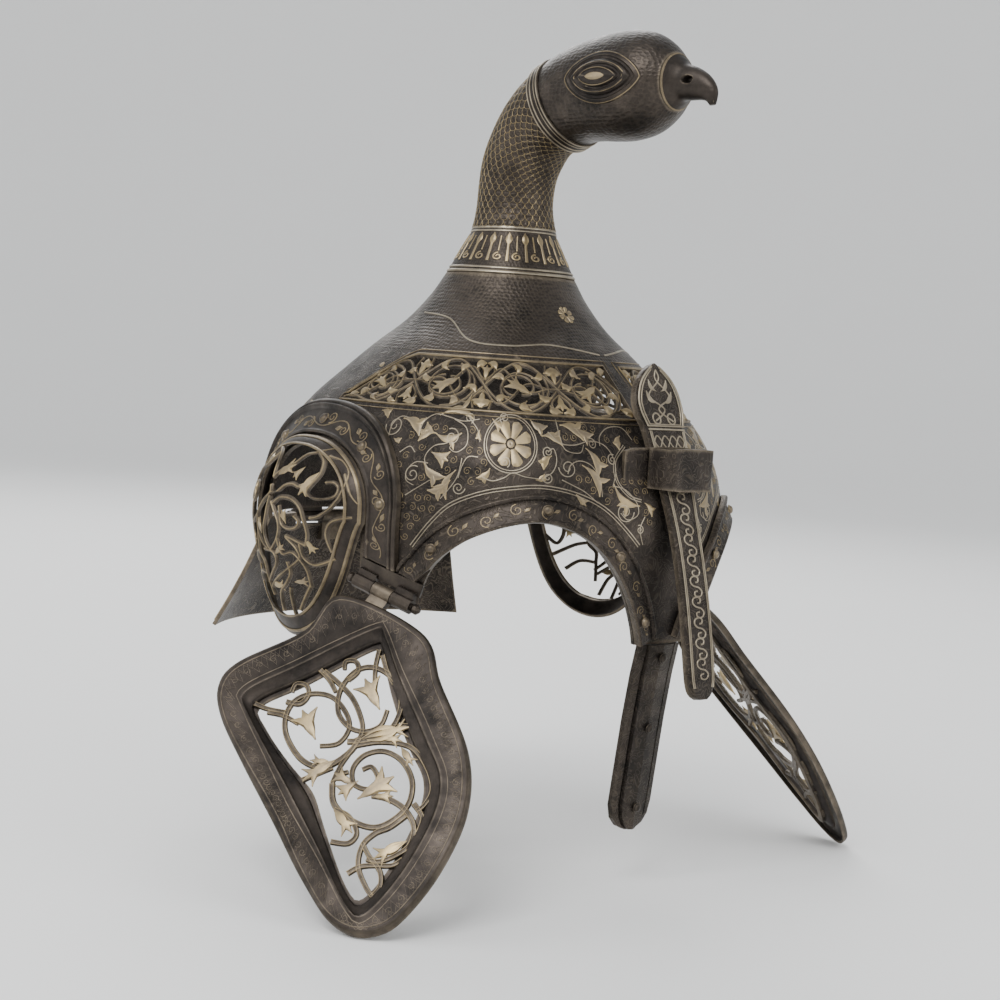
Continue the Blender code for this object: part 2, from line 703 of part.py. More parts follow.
def make_boss(side, label):
    """Pierced and domed ear boss, seated on the bowl inside the ear frame."""
    seat = SEAT_GAP + FACET_ROOM + BOSS_WALL
    rows = []
    for ring in range(BOSS_RINGS + 1):
        share = 1.0 - ring / (BOSS_RINGS + 1)
        row = []
        for i in range(BOSS_SPOKES):
            u, v = boss_edge(2 * math.pi * (i + 0.5) / BOSS_SPOKES)
            row.append(boss_point(side, u * share, v * share, seat + BOSS_BULGE * (1 - share ** BOSS_FALL)))
        rows.append(row)
    centre = boss_point(side, 0, 0, seat + BOSS_BULGE)
    mesh = sheet("ear_boss_" + label, rows, from_axis, closed=True, centre=centre)
    boss = add_part("ear_boss_" + label, mesh, dark_brass("boss_brass"))
    thicken(boss, BOSS_WALL)
    outlines = []
    scale = EAR_INNER_HALF
    for x, y, size, turn in BOSS_SCROLLS:
        outlines += scroll(x * scale, y * scale, size * scale, turn, 2)
    for x, y, size, turn in BOSS_SLOTS:
        outlines.append(ellipse(x * scale, y * scale, size * scale, size * scale / 2, turn, 4))

    def place(u, v, depth):
        return boss_point(side, u, v, boss_stand(u, v) + depth)

    cut(boss, add_cutter("boss_cut_" + label, prisms("boss_cut_" + label, outlines, place, 4 * BOSS_WALL)))


def neck_path():
    """Centres and radii of the neck's rings, from the crown to the head."""
    rows = []
    for rise, reach, radius in NECK_ROWS:
        level = CROWN_HEIGHT + SEAT_GAP + rise * NECK_RISE
        rows.append((Vector((0, -CROWN_FORWARD - reach * NECK_REACH, level)), radius * NECK_RADIUS))
    return rows


def path_ring(centre, tangent, half_width, half_height, sides):
    """Closed ring across a path that lies in the plane x = 0."""
    side = Vector((1, 0, 0))
    over = tangent.cross(side).normalized()
    ring = []
    for i in range(sides):
        a = 2 * math.pi * i / sides
        ring.append(centre + side * (half_width * math.cos(a)) + over * (half_height * math.sin(a)))
    return ring


def neck_tangents(rows):
    points = [row[0] for row in rows]
    tangents = []
    for i in range(len(points)):
        tangents.append((points[min(i + 1, len(points) - 1)] - points[max(i - 1, 0)]).normalized())
    tangents[0] = Vector((0, 0, 1))
    lean = math.radians(HEAD_ROWS[0][2])
    tangents[-1] = Vector((0, -math.cos(lean), math.sin(lean)))
    return tangents


def nearest_centre(centres):
    def outward(point):
        best = min(centres, key=lambda c: (c - point).length)
        return point - best
    return outward


def make_neck():
    rows = neck_path()
    tangents = neck_tangents(rows)
    rings = [path_ring(c, t, r, r, NECK_SEGMENTS) for (c, r), t in zip(rows, tangents)]
    mesh = sheet("bird_neck", rings, nearest_centre([row[0] for row in rows]), closed=True)
    neck = add_part("bird_neck", mesh, dark_brass("neck_brass"))
    thicken(neck, NECK_WALL)


def head_sections():
    """Centres, directions and half sizes of the head's rings, from the neck to the beak."""
    start, _ = neck_path()[-1]
    lean = math.radians(HEAD_ROWS[0][2])
    start = start + Vector((0, -math.cos(lean), math.sin(lean))) * SEAT_GAP
    sections = []
    for along, rise, lean, height, width in HEAD_ROWS:
        centre = start + Vector((0, -along * HEAD_LENGTH, rise * HEAD_LENGTH))
        a = math.radians(lean)
        sections.append((centre, Vector((0, -math.cos(a), math.sin(a))), width * HEAD_HALF_WIDTH,
                         height * HEAD_HALF_HEIGHT))
    return sections


def make_head():
    sections = head_sections()
    rings = [path_ring(c, t, w, h, HEAD_SEGMENTS) for c, t, w, h in sections]
    last = sections[-1][0]
    mesh = sheet("bird_head", rings, nearest_centre([s[0] for s in sections]), closed=True, centre=last)
    head = add_part("bird_head", mesh, dark_brass("head_brass"))
    thicken(head, HEAD_WALL)


def make_collar():
    """Raised band over the joint between neck and head."""
    centre, along, half_width, half_height = head_sections()[0]
    rings = []
    for share, stand in COLLAR_SECTION:
        grow = SEAT_GAP + COLLAR_THICKNESS * stand + COLLAR_SLACK
        middle = centre + along * (share * COLLAR_WIDTH)
        rings.append(path_ring(middle, along, half_width + grow, half_height + grow, HEAD_SEGMENTS))
    add_part("neck_collar", loft("neck_collar", rings, caps=False), bright_brass("collar_brass"))


def make_beak():
    """Hooked beak with a nostril drilled through it."""
    centre, _, half_width, half_height = head_sections()[-1]
    start = centre + Vector((0, -SEAT_GAP, 0))
    rings = []
    for along, drop, lean, height, width in BEAK_ROWS:
        middle = start + Vector((0, -along * BEAK_LENGTH, -drop * BEAK_LENGTH))
        a = math.radians(lean)
        rings.append(path_ring(middle, Vector((0, -math.cos(a), math.sin(a))), width * half_width,
                               height * half_height, BEAK_SEGMENTS))
    beak = add_part("beak", loft("beak", rings), dark_brass("beak_brass"))
    hole = start + Vector((0, -NOSTRIL_PLACE[0] * BEAK_LENGTH, -NOSTRIL_PLACE[1] * BEAK_LENGTH))
    outline = ellipse(hole.y, hole.z, NOSTRIL_LENGTH / 2, NOSTRIL_HEIGHT / 2, 0, 8)
    drill = prisms("nostril_cut", [outline], lambda u, v, depth: Vector((depth, u, v)), 2 * half_width)
    cut(beak, add_cutter("nostril_cut", drill))


def head_side(y, z, side, stand):
    """Point on the side of the head at (y, z), moved out sideways by stand."""
    sections = head_sections()
    for (c0, _, w0, h0), (c1, _, w1, h1) in zip(sections, sections[1:]):
        if c1.y <= y <= c0.y:
            t = (y - c0.y) / (c1.y - c0.y)
            middle, width, height = c0.z + (c1.z - c0.z) * t, w0 + (w1 - w0) * t, h0 + (h1 - h0) * t
            lift = min(abs(z - middle) / height, 0.98)
            return Vector((-side * (width * math.sqrt(1 - lift * lift) + stand), y, z))
    raise ValueError("the eye lies off the head")


def make_eye(side, label):
    """Raised almond eye on the side of the head."""
    start, end = head_sections()[0][0], head_sections()[-1][0]
    middle = start + (end - start) * EYE_PLACE
    rings = []
    for share, stand in EYE_SECTION:
        ring = []
        for i in range(EYE_SEGMENTS):
            a = 2 * math.pi * i / EYE_SEGMENTS
            c, s = math.cos(a), math.sin(a)
            across = 0.5 * EYE_LENGTH * share * c
            up = EYE_LIFT + 0.5 * EYE_HEIGHT * share * s * (1 - EYE_POINTING * c * c)
            ring.append(head_side(middle.y + across, middle.z + up, side, EYE_SEAT + stand * EYE_RAISE))
        rings.append(ring)
    add_part("eye_" + label, loft("eye_" + label, rings), bright_brass("eye_brass"))


def make_nasal():
    """Fixed nasal: a ribbed strip that runs down from the middle of the brow."""
    top = bowl_point(0, -SKIRT_DEPTH)
    rings = []
    for along, width, back in NASAL_ROWS:
        level = -SKIRT_DEPTH - SEAT_GAP - along * NASAL_LENGTH
        face = top.y - NASAL_PROUD + back * NASAL_SET_BACK
        ring = []
        for across, depth in NASAL_SECTION:
            share = across * width
            set_in = (1 - depth) * NASAL_THICKNESS + NASAL_CURVE * share ** 2
            ring.append(Vector((share * NASAL_WIDTH / 2, face + set_in, level)))
        rings.append(ring)
    add_part("nasal_guard", loft("nasal_guard", rings), dark_brass("nasal_brass"))


def bar_place(share):
    """Front face of the nasal bar in the middle plane, at a share of its length."""
    bent = min(max((share - BAR_STRAIGHT) / (1 - BAR_STRAIGHT), 0), 1)
    bow = BAR_BOW * math.sin(math.pi * bent)
    top_forward = BOWL_LENGTH / 2 - BAR_SET_BACK
    return Vector((0, -top_forward - share * BAR_LEAN - bow, BAR_TOP - share * BAR_LENGTH))


def make_bar():
    """Sliding nasal bar with a leaf finial."""
    rings = []
    stations = [(share, width * FINIAL_WIDTH / 2) for share, width in FINIAL_ROWS]
    stations += [(share, width * BAR_WIDTH / 2) for share, width in SHANK_ROWS]
    for share, half in stations:
        spot = bar_place(share)
        ahead = (bar_place(min(share + BAR_STEP, 1)) - bar_place(max(share - BAR_STEP, 0))).normalized()
        back = Vector((0, -ahead.z, ahead.y))
        if back.y < 0:
            back = -back
        edge = min(half / 4, BAR_CHAMFER)
        outline = ((-half, BAR_THICKNESS), (-half, edge), (-half + edge, 0),
                   (half - edge, 0), (half, edge), (half, BAR_THICKNESS))
        rings.append([spot + Vector((x, 0, 0)) + back * depth for x, depth in outline])
    bar = add_part("nasal_bar", loft("nasal_bar", rings), dark_brass("bar_brass"))
    set_origin(bar, bar_place(bracket_share()))


def bracket_share():
    return (BAR_TOP - BRACKET_LEVEL) / BAR_LENGTH


def set_origin(part, point):
    """Move an object's origin to a point of its joint's axis, with its mesh left in place."""
    part.data.transform(Matrix.Translation(-point))
    part.location = point


def make_bracket():
    """Strap riveted to the brow that holds the nasal bar in a loop."""
    face = bar_place(bracket_share())
    slope = (bar_place(bracket_share() - BAR_STEP) - bar_place(bracket_share() + BAR_STEP)).normalized()
    front = face.y - BRACKET_PLAY - BRACKET_WALL
    inner_half = SHANK_ROWS[1][1] * BAR_WIDTH / 2 + BRACKET_SIDE_PLAY
    half = inner_half + BRACKET_WALL
    skin = BRACKET_WALL + 2 * SEAT_GAP + FACET_ROOM

    def foot(x, level):
        half_width = bowl_halves(level)[0]
        return bowl_point(-math.degrees(math.asin(x / half_width)), level, skin)

    rows = []
    for share in (-0.5, 0.0, 0.5):
        level = BRACKET_LEVEL + share * BRACKET_HEIGHT
        lean = slope.y / slope.z * share * BRACKET_HEIGHT
        left, right = [], []
        for away, spread in BRACKET_COLUMNS:
            low = BRACKET_LEVEL + share * BRACKET_HEIGHT * spread
            left.append(foot(-half - away * BRACKET_FOOT, low))
            right.append(foot(half + away * BRACKET_FOOT, low))
        rise = foot(half, level).y - BRACKET_WALL / 2
        loop = [(half, rise), (half, front + lean + BRACKET_WALL), (half - BRACKET_WALL, front + lean)]
        left += [Vector((-x, y, level)) for x, y in loop]
        right += [Vector((x, y, level)) for x, y in loop]
        rows.append(left + right[::-1])
    mesh = sheet("nasal_bracket", rows, lambda point: Vector((0, -1, 0)))
    bracket = add_part("nasal_bracket", mesh, dark_brass("bracket_brass"))
    thicken(bracket, BRACKET_WALL)


def hinge_matrix(point, axis, down, outward):
    """Local frame on a hinge: X along its pin, Z up the wall, and whether +Y looks outward."""
    up = -down
    across = up.cross(axis).normalized()
    matrix = Matrix((axis, across, up)).transposed().to_4x4()
    matrix.translation = point
    return matrix, 1.0 if across.dot(outward) > 0 else -1.0


def cheek_axes(side):
    """Hinge point, axis, direction down the wall and outward direction of a cheek guard."""
    point = bowl_point(side * HINGE_ANGLE, -HINGE_LEVEL, HINGE_STAND)
    outward = bowl_normal(side * HINGE_ANGLE, -HINGE_LEVEL)
    outward = Vector((outward.x, outward.y, 0)).normalized()
    forward = Vector((0, 0, 1)).cross(outward)
    if forward.y > 0:
        forward = -forward
    slope = math.radians(HINGE_SLOPE)
    axis = forward * math.cos(slope) - Vector((0, 0, 1)) * math.sin(slope)
    down = -forward * math.sin(slope) - Vector((0, 0, 1)) * math.cos(slope)
    return point, axis, down, outward


def cheek_frame(side):
    point, axis, down, outward = cheek_axes(side)
    return hinge_matrix(point, axis, down, outward)[0]


def knuckle_spans(length):
    """Ends of the two outer knuckles and of the middle one along a hinge."""
    half, third = length / 2, length / 6
    return ((-half, -third - PIN_CLEARANCE / 2), (third + PIN_CLEARANCE / 2, half)), (
        -third + PIN_CLEARANCE / 2, third - PIN_CLEARANCE / 2)


def tube_cutter(name, length, matrix, radius):
    cutter = add_cutter(name, rod_mesh(name, radius, -length, length, PIN_SEGMENTS))
    cutter.matrix_world = matrix
    return cutter


def add_knuckles(part, name, spans, length, matrix):
    """Join knuckles to a leaf or a guard, and drill them for the pin."""
    for i, (start, end) in enumerate(spans):
        label = f"{name}_barrel_{i}"
        barrel = add_cutter(label, rod_mesh(label, KNUCKLE_RADIUS, start, end, KNUCKLE_SEGMENTS))
        barrel.matrix_world = matrix
        cut(part, barrel, 'UNION')
    cut(part, tube_cutter(name + "_bore", length, matrix, PIN_RADIUS + PIN_CLEARANCE))


def make_leaf(name, centre, level, slope, matrix, length, side=1):
    """Upper hinge leaf, bent to the bowl's wall, with the two outer knuckles."""
    outer, _ = knuckle_spans(length)
    tilt = math.radians(slope)

    def wall(a, b, rise):
        forward = a * math.cos(tilt) - b * math.sin(tilt)
        drop = a * math.sin(tilt) + b * math.cos(tilt)
        return bowl_point(side * wall_angle(centre, -forward, -level), -level - drop, rise + FACET_ROOM)

    rows = []
    for b in (-LEAF_HEIGHT, -KNUCKLE_RADIUS - LEAF_FOOT):
        places = [length * (i / LEAF_SPANS - 0.5) for i in range(LEAF_SPANS + 1)]
        rows.append([wall(a, b, SEAT_GAP + LEAF_THICKNESS) for a in places])
    leaf = add_part(name, sheet(name, rows, from_axis), dark_brass("hinge_brass"))
    thicken(leaf, LEAF_THICKNESS)
    inverse = matrix.inverted()
    for i, (start, end) in enumerate(outer):
        foot = -KNUCKLE_RADIUS - LEAF_FOOT - LINK_INSET
        spots = [inverse @ wall(a, foot, SEAT_GAP + LEAF_THICKNESS / 2) for a in (start, end)]
        local = min(spots, key=lambda spot: abs(spot.y))
        low, high = sorted((local.y * LINK_REACH, -local.y * LINK_RISE))
        link = box_mesh(f"{name}_link_{i}", (start + LINK_INSET, low, -LINK_INSET),
                        (end - LINK_INSET, high, local.z + 3 * LINK_INSET), matrix)
        cut(leaf, add_cutter(f"{name}_link_{i}", link), 'UNION')
    add_knuckles(leaf, name, outer, length, matrix)


def make_pin(name, length, matrix):
    """Hinge pin with a ball at each end."""
    half = length / 2
    ends = [(half + away * PIN_BALL, radius * PIN_BALL) for away, radius in PIN_ROWS]
    stations = [(-x, radius) for x, radius in ends] + [(-half, PIN_RADIUS), (half, PIN_RADIUS)] + ends[::-1]
    rings = []
    for x, radius in stations:
        turns = [2 * math.pi * i / PIN_SEGMENTS for i in range(PIN_SEGMENTS)]
        rings.append([Vector((x, radius * math.cos(turn), radius * math.sin(turn))) for turn in turns])
    pin = add_part(name, loft(name, rings), bright_brass("pin_brass"))
    pin.matrix_world = matrix


def spoke_reach(outline, centre, direction):
    """Distance from a centre to a closed outline along a direction."""
    best = 0.0
    count = len(outline)
    for i in range(count):
        a, b = outline[i] - centre, outline[(i + 1) % count] - centre
        edge = b - a
        det = direction.x * edge.y - direction.y * edge.x
        if abs(det) < 1e-12:
            continue
        t = (a.x * edge.y - a.y * edge.x) / det
        s = (a.x * direction.y - a.y * direction.x) / det
        if t > 0 and -1e-9 <= s <= 1 + 1e-9:
            best = max(best, t)
    return best


def make_guard(side, label):
    """Cheek guard: a raised border around a sunk panel that is pierced with scrolls."""
    point, axis, down, outward = cheek_axes(side)
    flare = math.radians(GUARD_FLARE)
    hang = down * math.cos(flare) + outward * math.sin(flare)
    face = outward * math.cos(flare) - down * math.sin(flare)
    matrix, sign = hinge_matrix(point, axis, hang, face)
    outer = [p * GUARD_SIZE for p in smooth_line(GUARD_OUTLINE, 2, closed=True)]
    panel = [p * GUARD_SIZE for p in smooth_line(PANEL_OUTLINE, 2, closed=True)]
    centre = Vector(GUARD_CENTRE) * GUARD_SIZE
    back = -KNUCKLE_RADIUS

    def place(a, b, height):
        return Vector((a, sign * (back + height), -b))

    rows = [[], [], [], [], []]
    for i in range(GUARD_SPOKES):
        turn = 2 * math.pi * (i + 0.5) / GUARD_SPOKES
        direction = Vector((math.cos(turn), math.sin(turn)))
        far = spoke_reach(outer, centre, direction)
        near = spoke_reach(panel, centre, direction)
        stations = ((far, GUARD_WALL), (far - GUARD_EDGE, GUARD_RELIEF),
                    (near + GUARD_EDGE, GUARD_RELIEF + GUARD_CROWN),
                    (near - GUARD_SLOPE, GUARD_PANEL_RELIEF * GUARD_RELIEF),
                    (near / 2, GUARD_PANEL_RELIEF * GUARD_RELIEF))
        for row, (reach, height) in zip(rows, stations):
            spot = centre + direction * reach
            row.append(place(spot.x, spot.y, height))
    hub = place(centre.x, centre.y, GUARD_PANEL_RELIEF * GUARD_RELIEF)
    facing = Vector((0, sign, 0))
    mesh = sheet("cheek_guard_" + label, rows, lambda _: facing, closed=True, centre=hub)
    guard = add_part("cheek_guard_" + label, mesh, dark_brass("guard_brass"))
    guard.matrix_world = matrix
    thicken(guard, GUARD_WALL)
    outlines = []
    for x, y, size, turn in GUARD_SCROLLS:
        outlines += scroll(x * GUARD_SIZE, y * GUARD_SIZE, size * GUARD_SIZE, turn)

    def through(u, v, depth):
        return place(u, v, GUARD_PANEL_RELIEF * GUARD_RELIEF + depth)

    holes = prisms("guard_cut_" + label, outlines, through, 2 * GUARD_RELIEF)
    cutter = add_cutter("guard_cut_" + label, holes)
    cutter.matrix_world = matrix
    cut(guard, cutter)
    _, middle = knuckle_spans(HINGE_LENGTH)
    low, high = sorted((sign * back * GUARD_LINK_DEPTH, sign * -back * LINK_RISE))
    link = box_mesh("guard_link_" + label, (middle[0] + LINK_INSET, low, -GUARD_LINK),
                    (middle[1] - LINK_INSET, high, -2 * LINK_INSET))
    linker = add_cutter("guard_link_" + label, link)
    linker.matrix_world = matrix
    cut(guard, linker, 'UNION')
    add_knuckles(guard, "guard_" + label, (middle,), HINGE_LENGTH, matrix)


def nape_axes():
    point = bowl_point(180, -NAPE_LEVEL, NAPE_STAND)
    return point, Vector((1, 0, 0)), Vector((0, 0, -1)), Vector((0, 1, 0))


def make_nape():
    """Flared nape guard that swings on a hinge at the back of the bowl."""
    point, axis, down, outward = nape_axes()
    matrix, sign = hinge_matrix(point, axis, down, outward)
    inverse = matrix.inverted()
    rows = []
    for j in range(NAPE_ROWS + 1):
        share = j / NAPE_ROWS
        half = NAPE_HALF_ANGLE + NAPE_SPREAD * share
        level = -NAPE_LEVEL - KNUCKLE_RADIUS - LEAF_FOOT - share * NAPE_DROP
        bend = (1 - NAPE_CURL) * share + NAPE_CURL * share ** 2
        stand = NAPE_STAND + NAPE_WALL / 2 + NAPE_FLARE * bend
        row = []
        for i in range(NAPE_COLUMNS + 1):
            angle = 180 + half * (2 * i / NAPE_COLUMNS - 1)
            base = bowl_point(angle, -NAPE_LEVEL)
            normal = from_axis(bowl_normal(angle, -NAPE_LEVEL)).normalized()
            row.append(inverse @ (Vector((base.x, base.y, level)) + normal * stand))
        rows.append(row)
    mesh = sheet("nape_guard", rows, lambda _: Vector((0, sign, 0)))
    nape = add_part("nape_guard", mesh, dark_brass("nape_brass"))
    nape.matrix_world = matrix
    thicken(nape, NAPE_WALL)
    _, middle = knuckle_spans(NAPE_HINGE_LENGTH)
    depth = KNUCKLE_RADIUS * NAPE_LINK_DEPTH
    link = box_mesh("nape_link", (middle[0] + LINK_INSET, -depth, -GUARD_LINK),
                    (middle[1] - LINK_INSET, depth, -2 * LINK_INSET))
    linker = add_cutter("nape_link", link)
    linker.matrix_world = matrix
    cut(nape, linker, 'UNION')
    add_knuckles(nape, "nape", (middle,), NAPE_HINGE_LENGTH, matrix)


def make_rivet(name, point, normal):
    work = bmesh.new()
    bmesh.ops.create_cone(work, cap_ends=True, segments=RIVET_SEGMENTS, radius1=RIVET_RADIUS,
                          radius2=RIVET_RADIUS * RIVET_TAPER, depth=RIVET_HEIGHT)
    turn = normal.to_track_quat('Z', 'Y').to_matrix().to_4x4()
    middle = point + normal * (RIVET_HEIGHT / 2)
    bmesh.ops.transform(work, matrix=Matrix.Translation(middle) @ turn, verts=work.verts)
    add_part(name, finish_mesh(name, work), bright_brass("rivet_brass"))


def make_rivets(side, label):
    """Rivets of one brow rim and one ear frame."""
    line = arch_line(8)
    rise = BROW_THICKNESS + BROW_RIVET_RISE * BROW_FLARE + 2 * SEAT_GAP
    for number, share in enumerate(BROW_RIVETS, 1):
        spot = line[round(share * (len(line) - 1))]
        ahead = line[round(share * (len(line) - 1)) + 1] - spot
        normal = Vector((-ahead.y, ahead.x)).normalized()
        if normal.y < 0:
            normal = -normal
        place = spot + normal * (BROW_RIVET_ROW * BROW_WIDTH)
        angle = side * wall_angle(EYE_CENTRE, place.x, place.y)
        make_rivet(f"brow_rivet_{label}_{number}", bowl_point(angle, place.y, rise),
                   bowl_normal(angle, place.y))
    half = EAR_INNER_HALF + EAR_RIVET_ROW * EAR_BAND
    top = EAR_INNER_RISE + EAR_RIVET_ROW * EAR_BAND
    for number, turn in enumerate(EAR_RIVETS, 1):
        u, v = -half * math.cos(math.radians(turn)), -EAR_SPRING + top * math.sin(math.radians(turn))
        angle = side * wall_angle(EAR_CENTRE, u, v)
        make_rivet(f"ear_rivet_{label}_{number}", bowl_point(angle, v, EAR_PLATE + 3 * SEAT_GAP),
                   bowl_normal(angle, v))


def main():
    clear_scene()
    new_collection("helmet")
    new_collection("cutters")
    make_bowl()
    make_neck()
    make_head()
    make_collar()
    make_beak()
    make_nasal()
    make_bracket()
    make_bar()
    for side, label in SIDES:
        make_eye(side, label)
        make_brow(side, label)
        make_ear_frame(side, label)
        make_boss(side, label)
        matrix = cheek_frame(side)
        make_leaf("cheek_hinge_" + label, HINGE_ANGLE, HINGE_LEVEL, HINGE_SLOPE, matrix, HINGE_LENGTH, side)
        make_pin("cheek_pin_" + label, HINGE_LENGTH, matrix)
        make_guard(side, label)
        make_rivets(side, label)
    matrix, _ = hinge_matrix(*nape_axes())
    make_leaf("nape_hinge", 180.0, NAPE_LEVEL, 0.0, matrix, NAPE_HINGE_LENGTH)
    make_pin("nape_pin", NAPE_HINGE_LENGTH, matrix)
    make_nape()


main()
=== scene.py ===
"""Brass helmet with a bird's head: fine shapes, inlay and finish, laid out as a Blender add-on.

Metres, +Z up. The front is towards -Y and the wearer's right is -X. Drawn ornament is laid out flat
in millimetres and then wrapped over the surface that carries it.
"""
import math

import bpy
import numpy as np
from mathutils import Matrix, Vector


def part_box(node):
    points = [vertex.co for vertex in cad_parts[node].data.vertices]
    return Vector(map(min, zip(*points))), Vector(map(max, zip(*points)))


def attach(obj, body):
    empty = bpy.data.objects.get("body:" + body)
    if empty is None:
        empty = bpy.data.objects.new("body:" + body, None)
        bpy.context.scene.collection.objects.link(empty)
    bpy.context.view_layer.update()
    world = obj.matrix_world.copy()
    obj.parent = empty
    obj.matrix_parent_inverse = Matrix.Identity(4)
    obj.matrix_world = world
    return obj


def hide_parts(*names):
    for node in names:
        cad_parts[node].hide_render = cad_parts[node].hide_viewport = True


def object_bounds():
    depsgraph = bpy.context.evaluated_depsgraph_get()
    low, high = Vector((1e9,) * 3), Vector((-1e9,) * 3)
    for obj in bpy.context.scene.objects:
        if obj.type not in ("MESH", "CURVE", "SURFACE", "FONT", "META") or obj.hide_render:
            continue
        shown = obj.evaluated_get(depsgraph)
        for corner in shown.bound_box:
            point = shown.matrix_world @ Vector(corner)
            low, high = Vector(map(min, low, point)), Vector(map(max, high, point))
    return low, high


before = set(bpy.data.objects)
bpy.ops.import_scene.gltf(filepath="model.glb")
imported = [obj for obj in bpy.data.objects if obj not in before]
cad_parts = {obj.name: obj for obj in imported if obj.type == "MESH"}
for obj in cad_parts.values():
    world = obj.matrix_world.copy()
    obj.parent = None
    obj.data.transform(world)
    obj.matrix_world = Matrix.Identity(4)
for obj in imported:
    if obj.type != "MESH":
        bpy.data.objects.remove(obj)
CAD_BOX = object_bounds()

bl_info = {
    "name": "Bird helmet",
    "version": (1, 0, 0),
    "blender": (4, 5, 0),
    "location": "View3D > Sidebar > Helmet",
    "description": "Models a brass helmet with a bird's head, pierced scrollwork and inlay",
    "category": "Add Mesh",
}

MM = 0.001
SIDES = ((1, "right"), (-1, "left"))

# Bowl
BOWL_WIDTH = 210 * MM
BOWL_LENGTH = 234 * MM
BOWL_WALL = 2.0 * MM
CROWN_HEIGHT = 109 * MM
CROWN_MOUTH = 31.3 * MM
CROWN_FORWARD = 1.5 * MM
SKIRT_DEPTH = 54 * MM
REAR_EDGE = 15 * MM
CUT_REACH = 16 * MM
SEAT = 0.5 * MM
BOWL_COLUMNS = 240
BOWL_ROWS = 76

# Pierced band: levels, ends in degrees from the front, and where its rear end starts to narrow
BAND_TOP = 68.5 * MM
BAND_BOTTOM = 46 * MM
BAND_START = 5.2
BAND_CELL = 24.0
BAND_CELLS = 4
BAND_NARROWING = 82.0
BAND_STRETCH = 1.395
BAND_STEEP = 1.4

# Eye arches
EYE_CENTRE = 38.0
EYE_TOP = 1.0 * MM
EYE_HALF = 52 * MM
EYE_DROP = 44 * MM
BROW_WIDTH = 12.4 * MM
BROW_THICKNESS = 1.8 * MM
BROW_FLARE = 2.4 * MM
BROW_LIFT = 11 * MM
BROW_SPLIT = 0.4

# Ear frames and bosses
EAR_CENTRE = 101.0
EAR_INNER_HALF = 46.2 * MM
EAR_INNER_RISE = 36.5 * MM
EAR_BAND = 15.8 * MM
EAR_SPRING = 8 * MM
EAR_LEG_REAR = 14.5 * MM
EAR_PLATE = 1.4 * MM
EAR_BEAD = 3.4 * MM
EAR_SQUARENESS = 2.2
EAR_RECESS = 4.0 * MM
BOSS_GAP = 0.8 * MM
BOSS_TIP = 57 * MM
BOSS_BULGE = 13 * MM
BOSS_WALL = 1.6 * MM
BOSS_TAPER = 0.31
BOSS_POINT = 1.25
BOSS_FALL = 2.4
BOSS_RIM = 0.84

# Bird
NECK_WALL = 1.6 * MM
NECK_RISE = 81 * MM
NECK_REACH = 29 * MM
NECK_RADIUS = 20 * MM
NECK_GAP = 0.3 * MM
SCALES_AROUND = 30
SCALE_ROW = 2.9 * MM
SCALE_DEPTH = 0.7 * MM
SCALES_START = 22.5 * MM
COLLAR_WIDTH = 7 * MM
COLLAR_THICKNESS = 1.8 * MM
COLLAR_SLACK = 0.8 * MM
HEAD_LENGTH = 68 * MM
HEAD_HALF_HEIGHT = 25 * MM
HEAD_HALF_WIDTH = 22.5 * MM
HEAD_WALL = 1.8 * MM
BEAK_LENGTH = 22 * MM
NOSTRIL_LENGTH = 5.6 * MM
NOSTRIL_HEIGHT = 3.4 * MM
NOSTRIL_PLACE = (0.46, -0.10)
EYE_LENGTH = 42 * MM
EYE_HEIGHT = 24 * MM
EYE_RAISE = 3.2 * MM
EYE_PLACE = 0.60
EYE_LIFT = 3.6 * MM
EYE_POINTING = 0.35

# Nasal pieces
BRACKET_BOX_HALF = 13.2 * MM
NASAL_LENGTH = 87 * MM
NASAL_SET_BACK = 11 * MM
NASAL_PROUD = 2.6 * MM
BAR_TOP = 72 * MM
BAR_LENGTH = 147 * MM
BAR_LEAN = 44 * MM
BAR_BOW = 5.5 * MM
BAR_SET_BACK = 19.5 * MM
BAR_WIDTH = 18 * MM
BAR_THICKNESS = 4 * MM
BAR_STRAIGHT = 0.12
FINIAL_WIDTH = 31 * MM
BRACKET_WALL = 2.2 * MM

# Cheek guards and hinges
HINGE_ANGLE = 71.5
HINGE_LEVEL = 37.5 * MM
HINGE_STAND = 3.6 * MM
HINGE_SLOPE = 17.0
HINGE_LENGTH = 31 * MM
KNUCKLE_RADIUS = 3.4 * MM
GUARD_LINK_DEPTHS = (-0.9 * KNUCKLE_RADIUS, 0.3 * KNUCKLE_RADIUS)
NAPE_LINK_DEPTHS = (-0.55 * KNUCKLE_RADIUS, 0.55 * KNUCKLE_RADIUS)
PIN_BORE = 1.9 * MM
LINK_GAP = 0.2 * MM
LINK_REACH = 13 * MM
LEAF_HEIGHT = 10.3 * MM
LEAF_FOOT = 0.9 * MM
TAB_ROOM = 1.2 * MM
GUARD_FLARE = 36.0
GUARD_SIZE = 132 * MM
GUARD_CENTRE = (0.26, 0.61)
GUARD_TIP_TRIM = 3.5 * MM
GUARD_TIP_TURN = 0.92
GUARD_SPOKES = 200

# Nape guard
NAPE_LEVEL = 19.5 * MM
NAPE_STAND = 3.2 * MM
NAPE_HINGE_LENGTH = 54 * MM
NAPE_DROP = 49 * MM
NAPE_FLARE = 21 * MM
NAPE_CURL = 0.25
NAPE_HALF_ANGLE = 36.0
NAPE_SPREAD = 4.0
NAPE_WALL = 1.8 * MM

